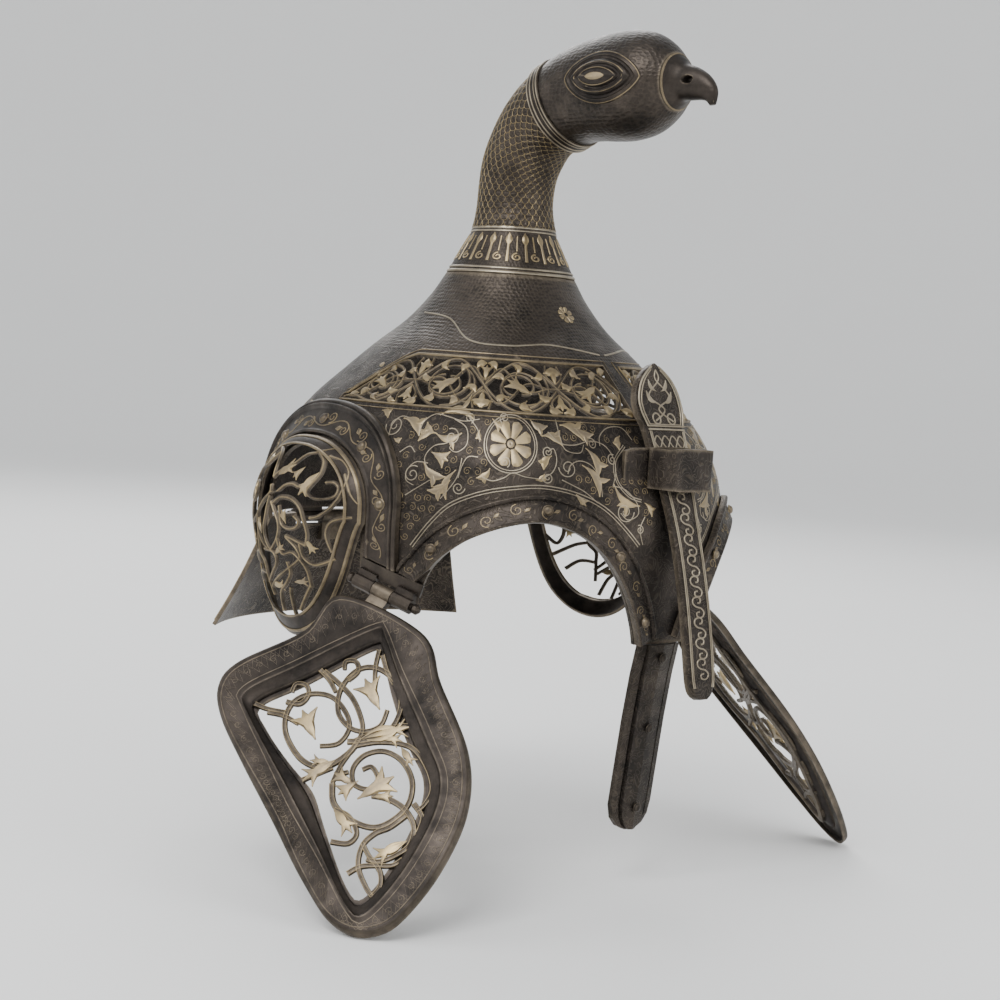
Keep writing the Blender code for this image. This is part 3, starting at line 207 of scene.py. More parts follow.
# Rivets: places along the brow rims and around the ear frames
BROW_RIVETS = (0.14, 0.42, 0.68, 0.90)
BROW_RIVET_ROW = 0.45
BROW_RIVET_STAND = 0.62 * BROW_FLARE + 0.2 * MM
EAR_RIVETS = (12, 50, 90, 130, 168)
EAR_RIVET_ROW = 0.42
NASAL_RIVETS = (0.07, 0.45, 0.88)
NASAL_RIVET_SIZE = (2.3 * MM, 1.2 * MM)
NASAL_RIVET_FACING = (0, -1, -0.14)

# Bowl profile: height as a share of the crown (above 0) or of the skirt (below 0), and girth
BOWL_PROFILE = (
    (1.000, 0.000), (0.900, 0.084), (0.780, 0.222), (0.670, 0.398), (0.540, 0.587), (0.420, 0.753),
    (0.294, 0.876), (0.180, 0.946), (0.000, 0.996), (-0.300, 1.000), (-1.000, 0.962),
)

# Neck: rise and reach as shares of their sizes, and radius as a share of NECK_RADIUS
NECK_ROWS = (
    (0.000, 0.000, 1.555), (0.070, 0.000, 1.410), (0.160, 0.000, 1.220), (0.270, 0.000, 1.000),
    (0.395, -0.015, 0.897), (0.515, -0.010, 0.885), (0.635, 0.040, 0.900), (0.750, 0.180, 0.915),
    (0.865, 0.400, 0.940), (0.950, 0.700, 1.000), (1.000, 0.985, 1.050),
)

# Head: distance along it, rise of its middle, lean in degrees, height and width
HEAD_ROWS = (
    (0.000, 0.000, 24.0, 0.860, 0.940), (0.140, 0.060, 15.0, 0.905, 0.960),
    (0.310, 0.092, 6.0, 0.945, 0.985), (0.480, 0.104, 2.0, 0.990, 1.000),
    (0.640, 0.110, 0.0, 1.000, 1.000), (0.790, 0.115, 0.0, 0.925, 0.930),
    (0.910, 0.118, 0.0, 0.745, 0.760), (1.000, 0.118, 0.0, 0.520, 0.540),
)

# Beak: distance, drop of its middle, lean in degrees, height and width as shares of its root
BEAK_ROWS = (
    (0.000, 0.000, 0.0, 1.000, 1.000), (0.110, 0.000, 0.0, 0.830, 0.760),
    (0.250, 0.020, -4.0, 0.640, 0.570), (0.500, 0.070, -12.0, 0.560, 0.460),
    (0.740, 0.150, -24.0, 0.450, 0.350), (0.930, 0.300, -50.0, 0.300, 0.220),
    (0.985, 0.500, -80.0, 0.120, 0.100),
)

# Eye arch: place along the wall and depth below the top, as shares of half width and drop
ARCH_ROWS = (
    (0.960, 0.920), (0.850, 0.545), (0.610, 0.260), (0.290, 0.080), (-0.030, 0.000),
    (-0.300, 0.055), (-0.520, 0.190), (-0.720, 0.425), (-0.880, 0.720), (-0.985, 1.000), (-1.035, 1.200),
)

# Brow rim section: place across the rim, and stand in thicknesses and in flares
BROW_SECTION = (
    (0.00, 0.0, 0.0), (0.00, 1.0, 1.0), (0.12, 1.05, 1.0), (0.18, 0.85, 0.9), (0.76, 0.75, 0.05),
    (0.82, 1.45, 0.0), (0.90, 1.6, 0.0), (0.97, 1.3, 0.0), (1.00, 0.0, 0.0), (0.50, 0.0, 0.0),
)

# Ear frame section: place across the band, and stand in plates and in beads
EAR_SECTION = (
    (0.00, 0.0, 0.0), (0.00, 1.5, 0.0), (0.07, 1.6, 0.0), (0.11, 1.0, 0.0), (0.68, 1.0, 0.0),
    (0.73, 0.1, 0.85), (0.79, 0.0, 1.0), (0.83, 0.0, 0.72), (0.87, 0.0, 0.95), (0.95, 0.0, 0.80),
    (1.00, 0.0, 0.0), (0.50, 0.0, 0.0),
)
COLLAR_SECTION = (
    (-0.5, 0.0), (-0.5, 0.55), (-0.36, 1.0), (-0.24, 0.75), (-0.08, 0.75), (0.08, 0.75),
    (0.24, 0.75), (0.36, 1.0), (0.5, 0.55), (0.5, 0.0),
)

# Fixed nasal: place along it, and set back as a share of NASAL_SET_BACK
NASAL_ROWS = (
    (0.000, 0.00), (0.160, 0.25), (0.400, 0.52), (0.650, 0.74), (0.860, 0.92), (0.930, 0.96), (0.975, 0.99),
    (1.000, 1.00),
)

# Nasal bar: place along it, half width as a share of the bar's or the finial's
FINIAL_ROWS = ((0.000, 0.06), (0.022, 0.42), (0.055, 0.76), (0.100, 0.97), (0.145, 1.00), (0.190, 0.86))
SHANK_ROWS = (
    (0.205, 1.46), (0.275, 1.38), (0.300, 1.22), (0.400, 1.10), (0.520, 1.00), (0.700, 1.00),
    (0.900, 1.00), (0.965, 0.90), (0.990, 0.62), (1.000, 0.30),
)
BAR_SECTION = (
    (-1.0, 1.0), (-1.0, 0.35), (-0.84, 0.05), (-0.5, 0.0), (0.5, 0.0), (0.84, 0.05), (1.0, 0.35), (1.0, 1.0),
)

# Cheek guard outline and the edge of its panel: along the hinge and down from it, in shares of GUARD_SIZE
GUARD_OUTLINE = (
    (-0.125, 0.070), (-0.160, 0.240), (-0.296, 0.445), (-0.305, 0.550), (-0.227, 0.638),
    (-0.059, 0.738), (0.188, 0.871), (0.370, 0.979), (0.510, 1.046), (0.618, 1.052),
    (0.690, 1.005), (0.728, 0.920), (0.736, 0.721), (0.698, 0.515), (0.585, 0.344),
    (0.364, 0.181), (0.205, 0.060),
)
PANEL_OUTLINE = (
    (0.065, 0.134), (-0.088, 0.365), (-0.191, 0.528), (-0.130, 0.591), (0.145, 0.735),
    (0.354, 0.852), (0.532, 0.956), (0.603, 0.955), (0.630, 0.794), (0.614, 0.595),
    (0.560, 0.471), (0.438, 0.379), (0.241, 0.242), (0.115, 0.144),
)

# Border of a cheek guard: distance from its outer edge, or from its panel when negative, and height, in mm
GUARD_SECTION = (
    (0.0, 1.9), (0.1, 3.6), (0.7, 4.9), (1.6, 5.4), (3.0, 5.4), (-1.9, 5.6), (-1.2, 5.9), (-0.5, 5.8),
    (-0.01, 5.2),
)


def smooth_line(points, steps, closed=False):
    """Run a smooth curve through the points, with the given steps between each two."""
    points = np.asarray(points, float)
    count = len(points)
    share = np.arange(steps)[:, None] / steps
    line = []
    for i in range(count if closed else count - 1):
        if closed:
            p = [points[(i + k - 1) % count] for k in range(4)]
        else:
            p = [points[min(max(i + k - 1, 0), count - 1)] for k in range(4)]
        bend = 2 * p[0] - 5 * p[1] + 4 * p[2] - p[3]
        twist = 3 * p[1] - p[0] - 3 * p[2] + p[3]
        line.append(0.5 * (2 * p[1] + (p[2] - p[0]) * share + bend * share ** 2 + twist * share ** 3))
    if not closed:
        line.append(points[-1:])
    return np.concatenate(line)


def rounded(points, amount=0.25, steps=3):
    """Open polyline with its corners eased, amount being the share of each side that is taken."""
    points = np.asarray(points, float)
    line = [points[0]]
    for before, corner, after in zip(points, points[1:], points[2:]):
        start, end = corner + (before - corner) * amount, corner + (after - corner) * amount
        for i in range(steps + 1):
            t = i / steps
            line.append(start * (1 - t) ** 2 + 2 * corner * t * (1 - t) + end * t * t)
    line.append(points[-1])
    return np.array(line)


def bowl_girth(level):
    """Girth share of the bowl at one height, read smoothly from its profile."""
    share = level / (CROWN_HEIGHT if level > 0 else SKIRT_DEPTH)
    rows = BOWL_PROFILE
    for i in range(len(rows) - 1):
        if share >= rows[i + 1][0] or i == len(rows) - 2:
            p = [rows[min(max(i + k - 1, 0), len(rows) - 1)] for k in range(4)]
            run = p[2][0] - p[1][0]
            t = (share - p[1][0]) / run
            if t > 1:
                return p[2][1]
            slope_start = (p[2][1] - p[0][1]) / (p[2][0] - p[0][0])
            slope_end = (p[3][1] - p[1][1]) / (p[3][0] - p[1][0])
            return ((2 * t ** 3 - 3 * t * t + 1) * p[1][1] + (t ** 3 - 2 * t * t + t) * run * slope_start
                    + (3 * t * t - 2 * t ** 3) * p[2][1] + (t ** 3 - t * t) * run * slope_end)
    return rows[-1][1]


LEVELS = np.linspace(-3 * SKIRT_DEPTH, CROWN_HEIGHT, 2000)
GIRTHS = np.array([bowl_girth(level) for level in LEVELS])


def bowl_halves(level):
    girth = np.interp(level, LEVELS, GIRTHS)
    half_width = CROWN_MOUTH + (BOWL_WIDTH / 2 - CROWN_MOUTH) * girth
    half_length = CROWN_MOUTH + (BOWL_LENGTH / 2 - CROWN_MOUTH) * girth
    return half_width, half_length, CROWN_FORWARD * (1 - girth)


def bowl_skin(angle, level):
    half_width, half_length, forward = bowl_halves(level)
    turn = np.radians(angle)
    return np.stack((-half_width * np.sin(turn), -half_length * np.cos(turn) - forward, level + 0 * turn), -1)


def bowl_normal(angle, level):
    step = 0.5 * MM
    along = bowl_skin(angle + 0.5, level) - bowl_skin(angle - 0.5, level)
    up = bowl_skin(angle, level + step) - bowl_skin(angle, level - step)
    normal = np.cross(up, along)
    normal /= np.linalg.norm(normal, axis=-1, keepdims=True)
    skin = bowl_skin(angle, level)
    facing = np.sign(normal[..., :1] * skin[..., :1] + normal[..., 1:2] * skin[..., 1:2])
    return normal * facing


def bowl_point(angle, level, stand=0.0):
    """Points on the bowl's outer skin, moved out by stand; the angle runs from the front to the right."""
    angle, level, stand = np.broadcast_arrays(np.asarray(angle, float), level, stand)
    return bowl_skin(angle, level) + bowl_normal(angle, level) * stand[..., None]


def wall_angle(centre, across, level):
    """Angle of a place that lies across metres behind a centre line, along the bowl's wall."""
    half_width, half_length, _ = bowl_halves(level)
    return centre + np.degrees(2 * across / (half_width + half_length))


def bowl_area(side, stretch, middle, steep):
    """Flat area of the bowl: stretch is millimetres a degree, and steep is the skin's length a level."""
    def place(x, y, z):
        return bowl_point(side * x / (stretch * MM), middle + y / steep, z)
    return place


def tube_table(rows, steps=12):
    """Fine table of a tube's rings from rows of (y, z, half width, half height, lean in degrees)."""
    line = smooth_line(rows, steps)
    travel = np.hypot(np.diff(line[:, 0]), np.diff(line[:, 1]))
    return np.concatenate(([0.0], np.cumsum(travel))), line


def tube_point(table, along, turn, stand):
    """Points on a tube: along it in metres, and turned in degrees from +X over its top."""
    travel, line = table
    y, z, width, height, lean = (np.interp(along, travel, line[:, i]) for i in range(5))
    a, lean = np.radians(turn), np.radians(lean)
    side = (width + stand) * np.cos(a)
    over = (height + stand) * np.sin(a)
    return np.stack((side, y + over * np.sin(lean), z + over * np.cos(lean)), -1)


def neck_rows():
    rows = []
    for rise, reach, radius in NECK_ROWS:
        level = CROWN_HEIGHT + NECK_GAP + rise * NECK_RISE
        rows.append([-CROWN_FORWARD - reach * NECK_REACH, level, radius * NECK_RADIUS, radius * NECK_RADIUS])
    leans = [90.0]
    for before, after in zip(rows, rows[2:]):
        leans.append(math.degrees(math.atan2(after[1] - before[1], before[0] - after[0])))
    leans.append(HEAD_ROWS[0][2])
    return [(*row, lean) for row, lean in zip(rows, leans)]


def head_rows():
    start = neck_rows()[-1]
    lean = math.radians(HEAD_ROWS[0][2])
    y, z = start[0] - math.cos(lean) * NECK_GAP, start[1] + math.sin(lean) * NECK_GAP
    return [(y - along * HEAD_LENGTH, z + rise * HEAD_LENGTH, width * HEAD_HALF_WIDTH,
             height * HEAD_HALF_HEIGHT, lean) for along, rise, lean, height, width in HEAD_ROWS]


def beak_rows():
    y, z, width, height, _ = head_rows()[-1]
    return [(y - NECK_GAP - along * BEAK_LENGTH, z - drop * BEAK_LENGTH, across * width, tall * height, lean)
            for along, drop, lean, tall, across in BEAK_ROWS]


NECK = tube_table(neck_rows())
HEAD = tube_table(head_rows())
BEAK = tube_table(beak_rows())


def tube_area(table, radius):
    """Flat area of a tube: x runs around it at the given radius, and y runs along it."""
    def place(x, y, z):
        return tube_point(table, y, np.degrees(x / radius), z)
    return place


def eye_middle():
    rows = head_rows()
    y = rows[0][0] + (rows[-1][0] - rows[0][0]) * EYE_PLACE
    z = rows[0][1] + (rows[-1][1] - rows[0][1]) * EYE_PLACE
    return y, z + EYE_LIFT


def eye_area(side):
    """Flat area of the head's side around the eye: x runs forward and y up from the eye's middle."""
    line = HEAD[1][::-1]
    middle_y, middle_z = eye_middle()

    def place(x, y, z):
        along = middle_y - x
        up = middle_z + y
        centre, width, height = (np.interp(along, line[:, 0], line[:, i]) for i in (1, 2, 3))
        lift = np.clip((up - centre) / height, -0.98, 0.98)
        reach = width * np.sqrt(1 - lift * lift)
        return np.stack((-side * (reach + z), along + 0 * up, up), -1)
    return place


def arch_line(steps):
    """Eye arch edge as (across, level) points, from its rear end to its front end."""
    return smooth_line([(u * EYE_HALF, -EYE_TOP - v * EYE_DROP) for u, v in ARCH_ROWS], steps)


def ear_line(outset, steps):
    """Arch of the ear opening as (across, level) points, moved out by outset."""
    turn = np.linspace(0, math.pi, steps + 1)
    power = 2.0 / EAR_SQUARENESS
    c, s = np.cos(turn), np.clip(np.sin(turn), 0, 1)
    across = -(EAR_INNER_HALF + outset) * np.sign(c) * np.abs(c) ** power
    return np.stack((across, -EAR_SPRING + (EAR_INNER_RISE + outset) * s ** power), -1)


def hinge_line(across):
    """Level of the line just above the cheek hinge's leaf."""
    gap = math.radians(HINGE_ANGLE - EAR_CENTRE) * (BOWL_WIDTH + BOWL_LENGTH) / 4
    slope = math.radians(HINGE_SLOPE)
    return -HINGE_LEVEL + (across - gap) * math.tan(slope) + (LEAF_HEIGHT + 2 * NECK_GAP) / math.cos(slope)


def ear_strip():
    """Inner and outer edges of an ear frame, with its two legs."""
    edges = []
    for outset in (0.0, EAR_BAND):
        arch = ear_line(outset, 72)
        front = np.linspace((arch[0, 0], hinge_line(arch[0, 0])), arch[0], 12)[:-1]
        rear = np.linspace(arch[-1], (arch[-1, 0], -EAR_LEG_REAR), 5)[1:]
        edges.append(np.concatenate((front, arch, rear)))
    return edges


def brow_strip():
    """Free edge and far edge of a brow rim."""
    line = arch_line(8)
    ahead = np.gradient(line, axis=0)
    normal = np.stack((-ahead[:, 1], ahead[:, 0]), -1)
    normal /= np.linalg.norm(normal, axis=1, keepdims=True)
    normal *= np.where(normal[:, 1:] < 0, -1.0, 1.0)
    lift = np.clip(1 - np.arange(len(line)) / 8, 0, 1) * BROW_LIFT
    line = line + np.stack((0 * lift, lift), -1)
    return line, line + normal * BROW_WIDTH


def strip_spot(strip, along, across):
    """Place on the wall of a spot on a strip, both shares running from 0 to 1."""
    inner, outer = strip
    index = np.arange(len(inner))
    at = along * (len(inner) - 1)
    low = [np.interp(at, index, inner[:, i]) for i in (0, 1)]
    high = [np.interp(at, index, outer[:, i]) for i in (0, 1)]
    return low[0] + (high[0] - low[0]) * across, low[1] + (high[1] - low[1]) * across


def strip_length(strip):
    middle = (strip[0] + strip[1]) / 2
    return float(np.linalg.norm(np.diff(middle, axis=0), axis=1).sum())


def frame_point(side, along, across, stand):
    u, v = strip_spot(ear_strip(), along, across)
    return bowl_point(side * wall_angle(EAR_CENTRE, u, v), v, SEAT + stand)


def brow_point(side, along, across, stand):
    u, v = strip_spot(brow_strip(), along, across)
    limit = wall_angle(EAR_CENTRE, -EAR_INNER_HALF - EAR_BAND, -HINGE_LEVEL / 2) - BROW_SPLIT
    angle = np.clip(wall_angle(EYE_CENTRE, u, v), BROW_SPLIT, limit)
    return bowl_point(side * angle, v, SEAT + stand)


def section_stand(section, first, second, across):
    """Height of a section's upper side at a share across it."""
    upper = np.array([row for row in section[1:-2]])
    stand = upper[:, 1] * first + upper[:, 2] * second
    return np.interp(across, upper[:, 0], stand)


def boss_edge(turn):
    """Edge of an ear boss as (across, up) from its middle: round above, a point below."""
    half = EAR_INNER_HALF - BOSS_GAP
    c, s = np.cos(turn), np.sin(turn)
    power = 2.0 / EAR_SQUARENESS
    above_u = half * np.sign(c) * np.abs(c) ** power
    above_v = (EAR_INNER_RISE - BOSS_GAP) * np.clip(s, 0, 1) ** power
    below_u = half * c * (1 + BOSS_TAPER * s * (1 + s))
    below_v = -BOSS_TIP * np.clip(-s, 0, 1) ** BOSS_POINT
    return np.where(s >= 0, above_u, below_u), np.where(s >= 0, above_v, below_v)


def boss_point(side, u, v, stand):
    level = -EAR_SPRING + v
    return bowl_point(side * wall_angle(EAR_CENTRE, u, np.maximum(level, -SKIRT_DEPTH)), level, stand)


def boss_stand(u, v):
    """Height of the boss above the bowl's skin at (across, up) from its middle."""
    turn = np.arctan2(v / np.where(v > 0, EAR_INNER_RISE, BOSS_TIP), u / EAR_INNER_HALF)
    edge_u, edge_v = boss_edge(turn)
    share = np.clip(np.hypot(u, v) / np.hypot(edge_u, edge_v), 0, 1)
    return BOSS_BULGE * (1 - share ** BOSS_FALL)


def boss_area(side):
    def place(x, y, z):
        return boss_point(side, x, y, SEAT + BOSS_WALL + boss_stand(x, y) + z)
    return place


def unit(vector):
    vector = np.asarray(vector, float)
    return vector / np.linalg.norm(vector)


def cheek_axes(side):
    """Hinge point, axis, direction down the wall and outward direction of a cheek guard."""
    point = bowl_point(side * HINGE_ANGLE, -HINGE_LEVEL, HINGE_STAND)
    outward = bowl_normal(np.asarray(side * HINGE_ANGLE), -HINGE_LEVEL)
    outward = unit((outward[0], outward[1], 0))
    forward = np.cross((0, 0, 1), outward)
    forward = forward * (-1 if forward[1] > 0 else 1)
    slope = math.radians(HINGE_SLOPE)
    axis = forward * math.cos(slope) - np.array((0, 0, math.sin(slope)))
    down = -forward * math.sin(slope) - np.array((0, 0, math.cos(slope)))
    return point, axis, down, outward


def guard_area(side):
    """Flat area of a cheek guard: x along its hinge, y down from it and z out from its back."""
    point, axis, down, outward = cheek_axes(side)
    flare = math.radians(GUARD_FLARE)
    hang = down * math.cos(flare) + outward * math.sin(flare)
    face = outward * math.cos(flare) - down * math.sin(flare)

    def place(x, y, z):
        x, y, z = (np.asarray(value, float)[..., None] for value in (x, y, z))
        return point + x * axis + y * hang + (z - KNUCKLE_RADIUS) * face
    return place


def nape_area():
    """Flat area of the nape guard: x in degrees from its middle, y down from its top, as shares."""
    def place(x, y, z):
        half = NAPE_HALF_ANGLE + NAPE_SPREAD * y
        level = -NAPE_LEVEL - KNUCKLE_RADIUS - LEAF_FOOT - y * NAPE_DROP
        bend = (1 - NAPE_CURL) * y + NAPE_CURL * y ** 2
        stand = NAPE_STAND + NAPE_WALL / 2 + NAPE_FLARE * bend + z
        base = bowl_skin(180 + half * x, -NAPE_LEVEL + 0 * x)
        normal = bowl_normal(180 + half * x, -NAPE_LEVEL + 0 * x)
        flat = normal * (1, 1, 0)
        flat /= np.linalg.norm(flat, axis=-1, keepdims=True)
        spot = base + flat * stand[..., None]
        spot[..., 2] = level
        return spot
    return place


def bar_spot(share):
    """Front face of the nasal bar in the middle plane, at shares of its length."""
    bent = np.clip((share - BAR_STRAIGHT) / (1 - BAR_STRAIGHT), 0, 1)
    forward = BOWL_LENGTH / 2 - BAR_SET_BACK + share * BAR_LEAN + BAR_BOW * np.sin(math.pi * bent)
    return np.stack((0 * share, -forward, BAR_TOP - share * BAR_LENGTH), -1)


def bar_back(share):
    """Direction from the front face of the nasal bar to its back."""
    ahead = bar_spot(np.minimum(share + 0.02, 1)) - bar_spot(np.maximum(share - 0.02, 0))
    back = np.stack((0 * share, -ahead[..., 2], ahead[..., 1]), -1)
    return back / np.linalg.norm(back, axis=-1, keepdims=True)


def bar_area(x, y, z):
    """Front of the nasal bar: x across it, y down from its tip and z out from its face."""
    share = np.clip(y / math.hypot(BAR_LENGTH, BAR_LEAN), 0, 1)
    spot = bar_spot(share) - bar_back(share) * np.asarray(z)[..., None]
    spot[..., 0] = x
    return spot


# ---------------------------------------------------------------- modelling helpers

def deselect():
    if bpy.context.mode != "OBJECT":
        bpy.ops.object.mode_set(mode="OBJECT")
    bpy.ops.object.select_all(action="DESELECT")


def choose(*pieces):
    deselect()
    for piece in pieces:
        piece.select_set(True)
    bpy.context.view_layer.objects.active = pieces[0]


def edit(piece, *steps):
    """Run the steps on the whole mesh in edit mode."""
    choose(piece)
    bpy.ops.object.mode_set(mode="EDIT")
    bpy.ops.mesh.select_all(action="SELECT")
    for step in steps:
        step()
    bpy.ops.object.mode_set(mode="OBJECT")


def merge_doubles():
    bpy.ops.mesh.remove_doubles(threshold=2e-6)


def close_holes():
    bpy.ops.mesh.fill_holes(sides=0)


def face_out():
    bpy.ops.mesh.normals_make_consistent(inside=False)


def turn_over():
    bpy.ops.mesh.flip_normals()


def read_spots(piece):
    spots = np.empty(len(piece.data.vertices) * 3)
    piece.data.vertices.foreach_get("co", spots)
    return spots.reshape(-1, 3)


def write_spots(piece, spots):
    piece.data.vertices.foreach_set("co", np.ascontiguousarray(spots, dtype=np.float64).ravel())
    piece.data.update()


def scale_uv(piece, width, height):
    layer = piece.data.uv_layers.active
    flat = np.empty(len(layer.data) * 2)
    layer.data.foreach_get("uv", flat)
    flat = flat.reshape(-1, 2) * (width, height)
    layer.data.foreach_set("uv", flat.ravel())


def apply_all(piece):
    choose(piece)
    for modifier in list(piece.modifiers):
        bpy.ops.object.modifier_apply(modifier=modifier.name)


def thicken(piece, wall):
    """Give a sheet its wall, on its inner side."""
    modifier = piece.modifiers.new("Wall", "SOLIDIFY")
    modifier.thickness = wall
    modifier.offset = -1.0
    modifier.use_even_offset = False
    apply_all(piece)


def cut(piece, cutters):
    """Cut the cutters out of a piece, one after another, and remove them."""
    for cutter in cutters:
        modifier = piece.modifiers.new("Cut", "BOOLEAN")
        modifier.operation = "DIFFERENCE"
        modifier.solver = "EXACT"
        modifier.object = cutter
        apply_all(piece)
        bpy.data.objects.remove(cutter)


def plain_grid(name, columns, rows):
    deselect()
    bpy.ops.mesh.primitive_grid_add(x_subdivisions=columns, y_subdivisions=rows, size=1)
    piece = bpy.context.object
    piece.name = piece.data.name = name
    flat = read_spots(piece)
    return piece, flat[:, 0] + 0.5, flat[:, 1] + 0.5


def faces_in(place, u=0.37, v=0.41, step=1e-3):
    """Whether a sheet laid out by place would face inwards."""
    def at(a, b, c=0.0):
        return place(np.array([a]), np.array([b]), np.array([c]))[0]
    here = at(u, v)
    facing = np.cross(at(u + step, v) - here, at(u, v + step) - here)
    return float(np.dot(facing, at(u, v, 1e-4) - here)) < 0


def add_skin(name, place, columns, rows, size, wall=0.0, closed=False):
    """Sheet laid out by place(u, v, stand) over the unit square, with its UV map in metres."""
    piece, u, v = plain_grid(name, columns, rows)
    scale_uv(piece, *size)
    write_spots(piece, place(u, v, 0 * u))
    steps = [merge_doubles] if closed else []
    if faces_in(place):
        steps.append(turn_over)
    if steps:
        edit(piece, *steps)
    if wall:
        thicken(piece, wall)
    return piece


def add_loft(name, rings, capped=True):
    """Closed section carried through the rings, an array of rings by points by 3."""
    rings = np.asarray(rings)
    count, around = rings.shape[:2]
    piece, u, v = plain_grid(name, around, count - 1)
    column = np.rint(u * around).astype(int) % around
    row = np.rint(v * (count - 1)).astype(int)
    girth = np.linalg.norm(np.diff(rings[count // 2], axis=0), axis=1).sum()
    length = np.linalg.norm(np.diff(rings.mean(axis=1), axis=0), axis=1).sum()
    scale_uv(piece, girth, length)
    write_spots(piece, rings[row, column])
    steps = [merge_doubles, close_holes, face_out] if capped else [merge_doubles, face_out]
    edit(piece, *steps)
    return piece


def draw(name, strokes, place, thick, rise, roundness):
    """Strokes laid out flat in millimetres, flattened to thick and wrapped over a surface as one piece."""
    curve = bpy.data.curves.new(name, "CURVE")
    curve.dimensions = "3D"
    curve.twist_mode = "Z_UP"
    curve.bevel_depth = 1.0
    curve.bevel_resolution = roundness
    curve.use_fill_caps = True
    for line, radius, closed in strokes:
        line = np.asarray(line, float)
        if line.shape[1] == 2:
            line = np.column_stack((line, np.zeros(len(line))))
        spline = curve.splines.new("POLY")
        spline.points.add(len(line) - 1)
        spline.points.foreach_set("co", np.column_stack((line, np.ones(len(line)))).ravel())
        spline.points.foreach_set("radius", np.broadcast_to(np.asarray(radius, float), len(line)).copy())
        spline.use_cyclic_u = closed
    piece = bpy.data.objects.new(name, curve)
    bpy.context.collection.objects.link(piece)
    choose(piece)
    bpy.ops.object.convert(target="MESH")
    piece = bpy.context.object
    piece.name = piece.data.name = name

    def wrap(x, y, z):
        return place(x * MM, y * MM, z * MM)

    edit(piece, lambda: bpy.ops.mesh.remove_doubles(threshold=1e-3), face_out)
    flat = read_spots(piece)
    x, y = flat[:, 0], flat[:, 1]
    z = thick * np.tanh(flat[:, 2] / thick) + rise
    write_spots(piece, wrap(x, y, z))
    middle = int(np.argmin(np.hypot(x - np.median(x), y - np.median(y))))
    if faces_in(lambda a, b, c: wrap(a, b, c * 1000), x[middle], y[middle], 0.05):
        edit(piece, turn_over)
    return piece


def finish_piece(piece, finish, body, nodes=(), smooth=38.0):
    """Finish a new piece: material, soft shading, the body it rides on and what it replaces."""
    piece.data.materials.clear()
    piece.data.materials.append(FINISHES[finish])
    choose(piece)
    bpy.ops.object.shade_smooth_by_angle(angle=math.radians(smooth))
    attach(piece, body)
    if nodes:
        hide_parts(*nodes)
    deselect()
    return piece


def lay(finish, body, name, strokes, place, thick, rise=0.0, roundness=2):
    """Draw strokes on a surface as one piece, and finish it."""
    return finish_piece(draw(name, strokes, place, thick, rise, roundness), finish, body)


# ---------------------------------------------------------------- drawn strokes, flat and in millimetres

def vine(points, start, end=None, steps=6, closed=False):
    line = smooth_line(points, steps, closed)
    end = start if end is None else end
    return line, np.linspace(start, end, len(line)), closed


def hoop(turn, level, wire):
    """Closed line right round a tube at one level."""
    return np.stack((turn, np.full(len(turn), level)), -1), wire, True


def coil(centre, reach, turn, turns, start, end, core=0.22, steps=18):
    """Spiral from reach millimetres out to the core, starting at an angle in degrees."""
    count = max(int(abs(turns) * steps), 8)
    share = np.linspace(0, 1, count + 1)
    angle = np.radians(turn + 360 * turns * share)
    radius = reach * (1 - (1 - core) * share ** 0.9)
    line = np.stack((centre[0] + radius * np.cos(angle), centre[1] + radius * np.sin(angle)), -1)
    return line, start + (end - start) * share, False


def ring(centre, reach, wire, steps=28):
    angle = np.linspace(0, 2 * math.pi, steps, endpoint=False)
    line = np.stack((centre[0] + reach * np.cos(angle), centre[1] + reach * np.sin(angle)), -1)
    return line, wire, True


def leaf(base, tip, width, bend=0.0, steps=10):
    """Pointed leaf from a thin stalk at base to tip; bend curves it to its left by a share of its length."""
    base, tip = np.asarray(base, float), np.asarray(tip, float)
    share = np.linspace(0, 1, steps + 1)
    ahead = tip - base
    left = np.array((-ahead[1], ahead[0]))
    line = base + share[:, None] * ahead + (np.sin(math.pi * share) * bend)[:, None] * left
    radius = 0.5 * width * np.sin(math.pi * np.clip(share, 0.0, 0.985) ** 1.2) ** 1.15
    return line, np.maximum(radius, 0.07 * width), False


def split_leaf(base, tip, width, bend):
    """Leaf with a second, shorter point on its outer side."""
    base, tip = np.asarray(base, float), np.asarray(tip, float)
    ahead = tip - base
    left = np.array((-ahead[1], ahead[0])) * (1 if bend > 0 else -1)
    middle = base + 0.45 * ahead + 0.75 * abs(bend) * left
    return [leaf(base, tip, width, bend), leaf(middle, middle + 0.30 * ahead + 0.42 * left, 0.62 * width, -0.6 * bend)]


def petal(base, tip, width, steps=8):
    """Flat petal that widens to a round end."""
    base, tip = np.asarray(base, float), np.asarray(tip, float)
    share = np.linspace(0, 1, steps + 1)
    line = base + share[:, None] * (tip - base)
    end = np.sqrt(np.clip(1 - (np.clip(share - 0.72, 0, 1) / 0.285) ** 2, 0.02, 1))
    return line, 0.5 * width * (0.34 + 0.66 * share) * end, False


def tulip(base, tip, width):
    """Three leaves that open from one foot."""
    base, tip = np.asarray(base, float), np.asarray(tip, float)
    ahead = tip - base
    left = np.array((-ahead[1], ahead[0]))
    strokes = [leaf(base, tip, 0.42 * width)]
    for side in (1, -1):
        strokes.append(leaf(base, base + 0.88 * ahead + side * 0.5 * width * left / np.linalg.norm(left),
                            0.36 * width, -side * 0.22))
    return strokes


def rosette(centre, reach, petals, width):
    strokes = []
    for i in range(petals):
        angle = 2 * math.pi * (i + 0.5) / petals
        ahead = np.array((math.cos(angle), math.sin(angle)))
        strokes.append(petal(centre + ahead * reach * 0.24, centre + ahead * reach * 0.98, width))
    return strokes


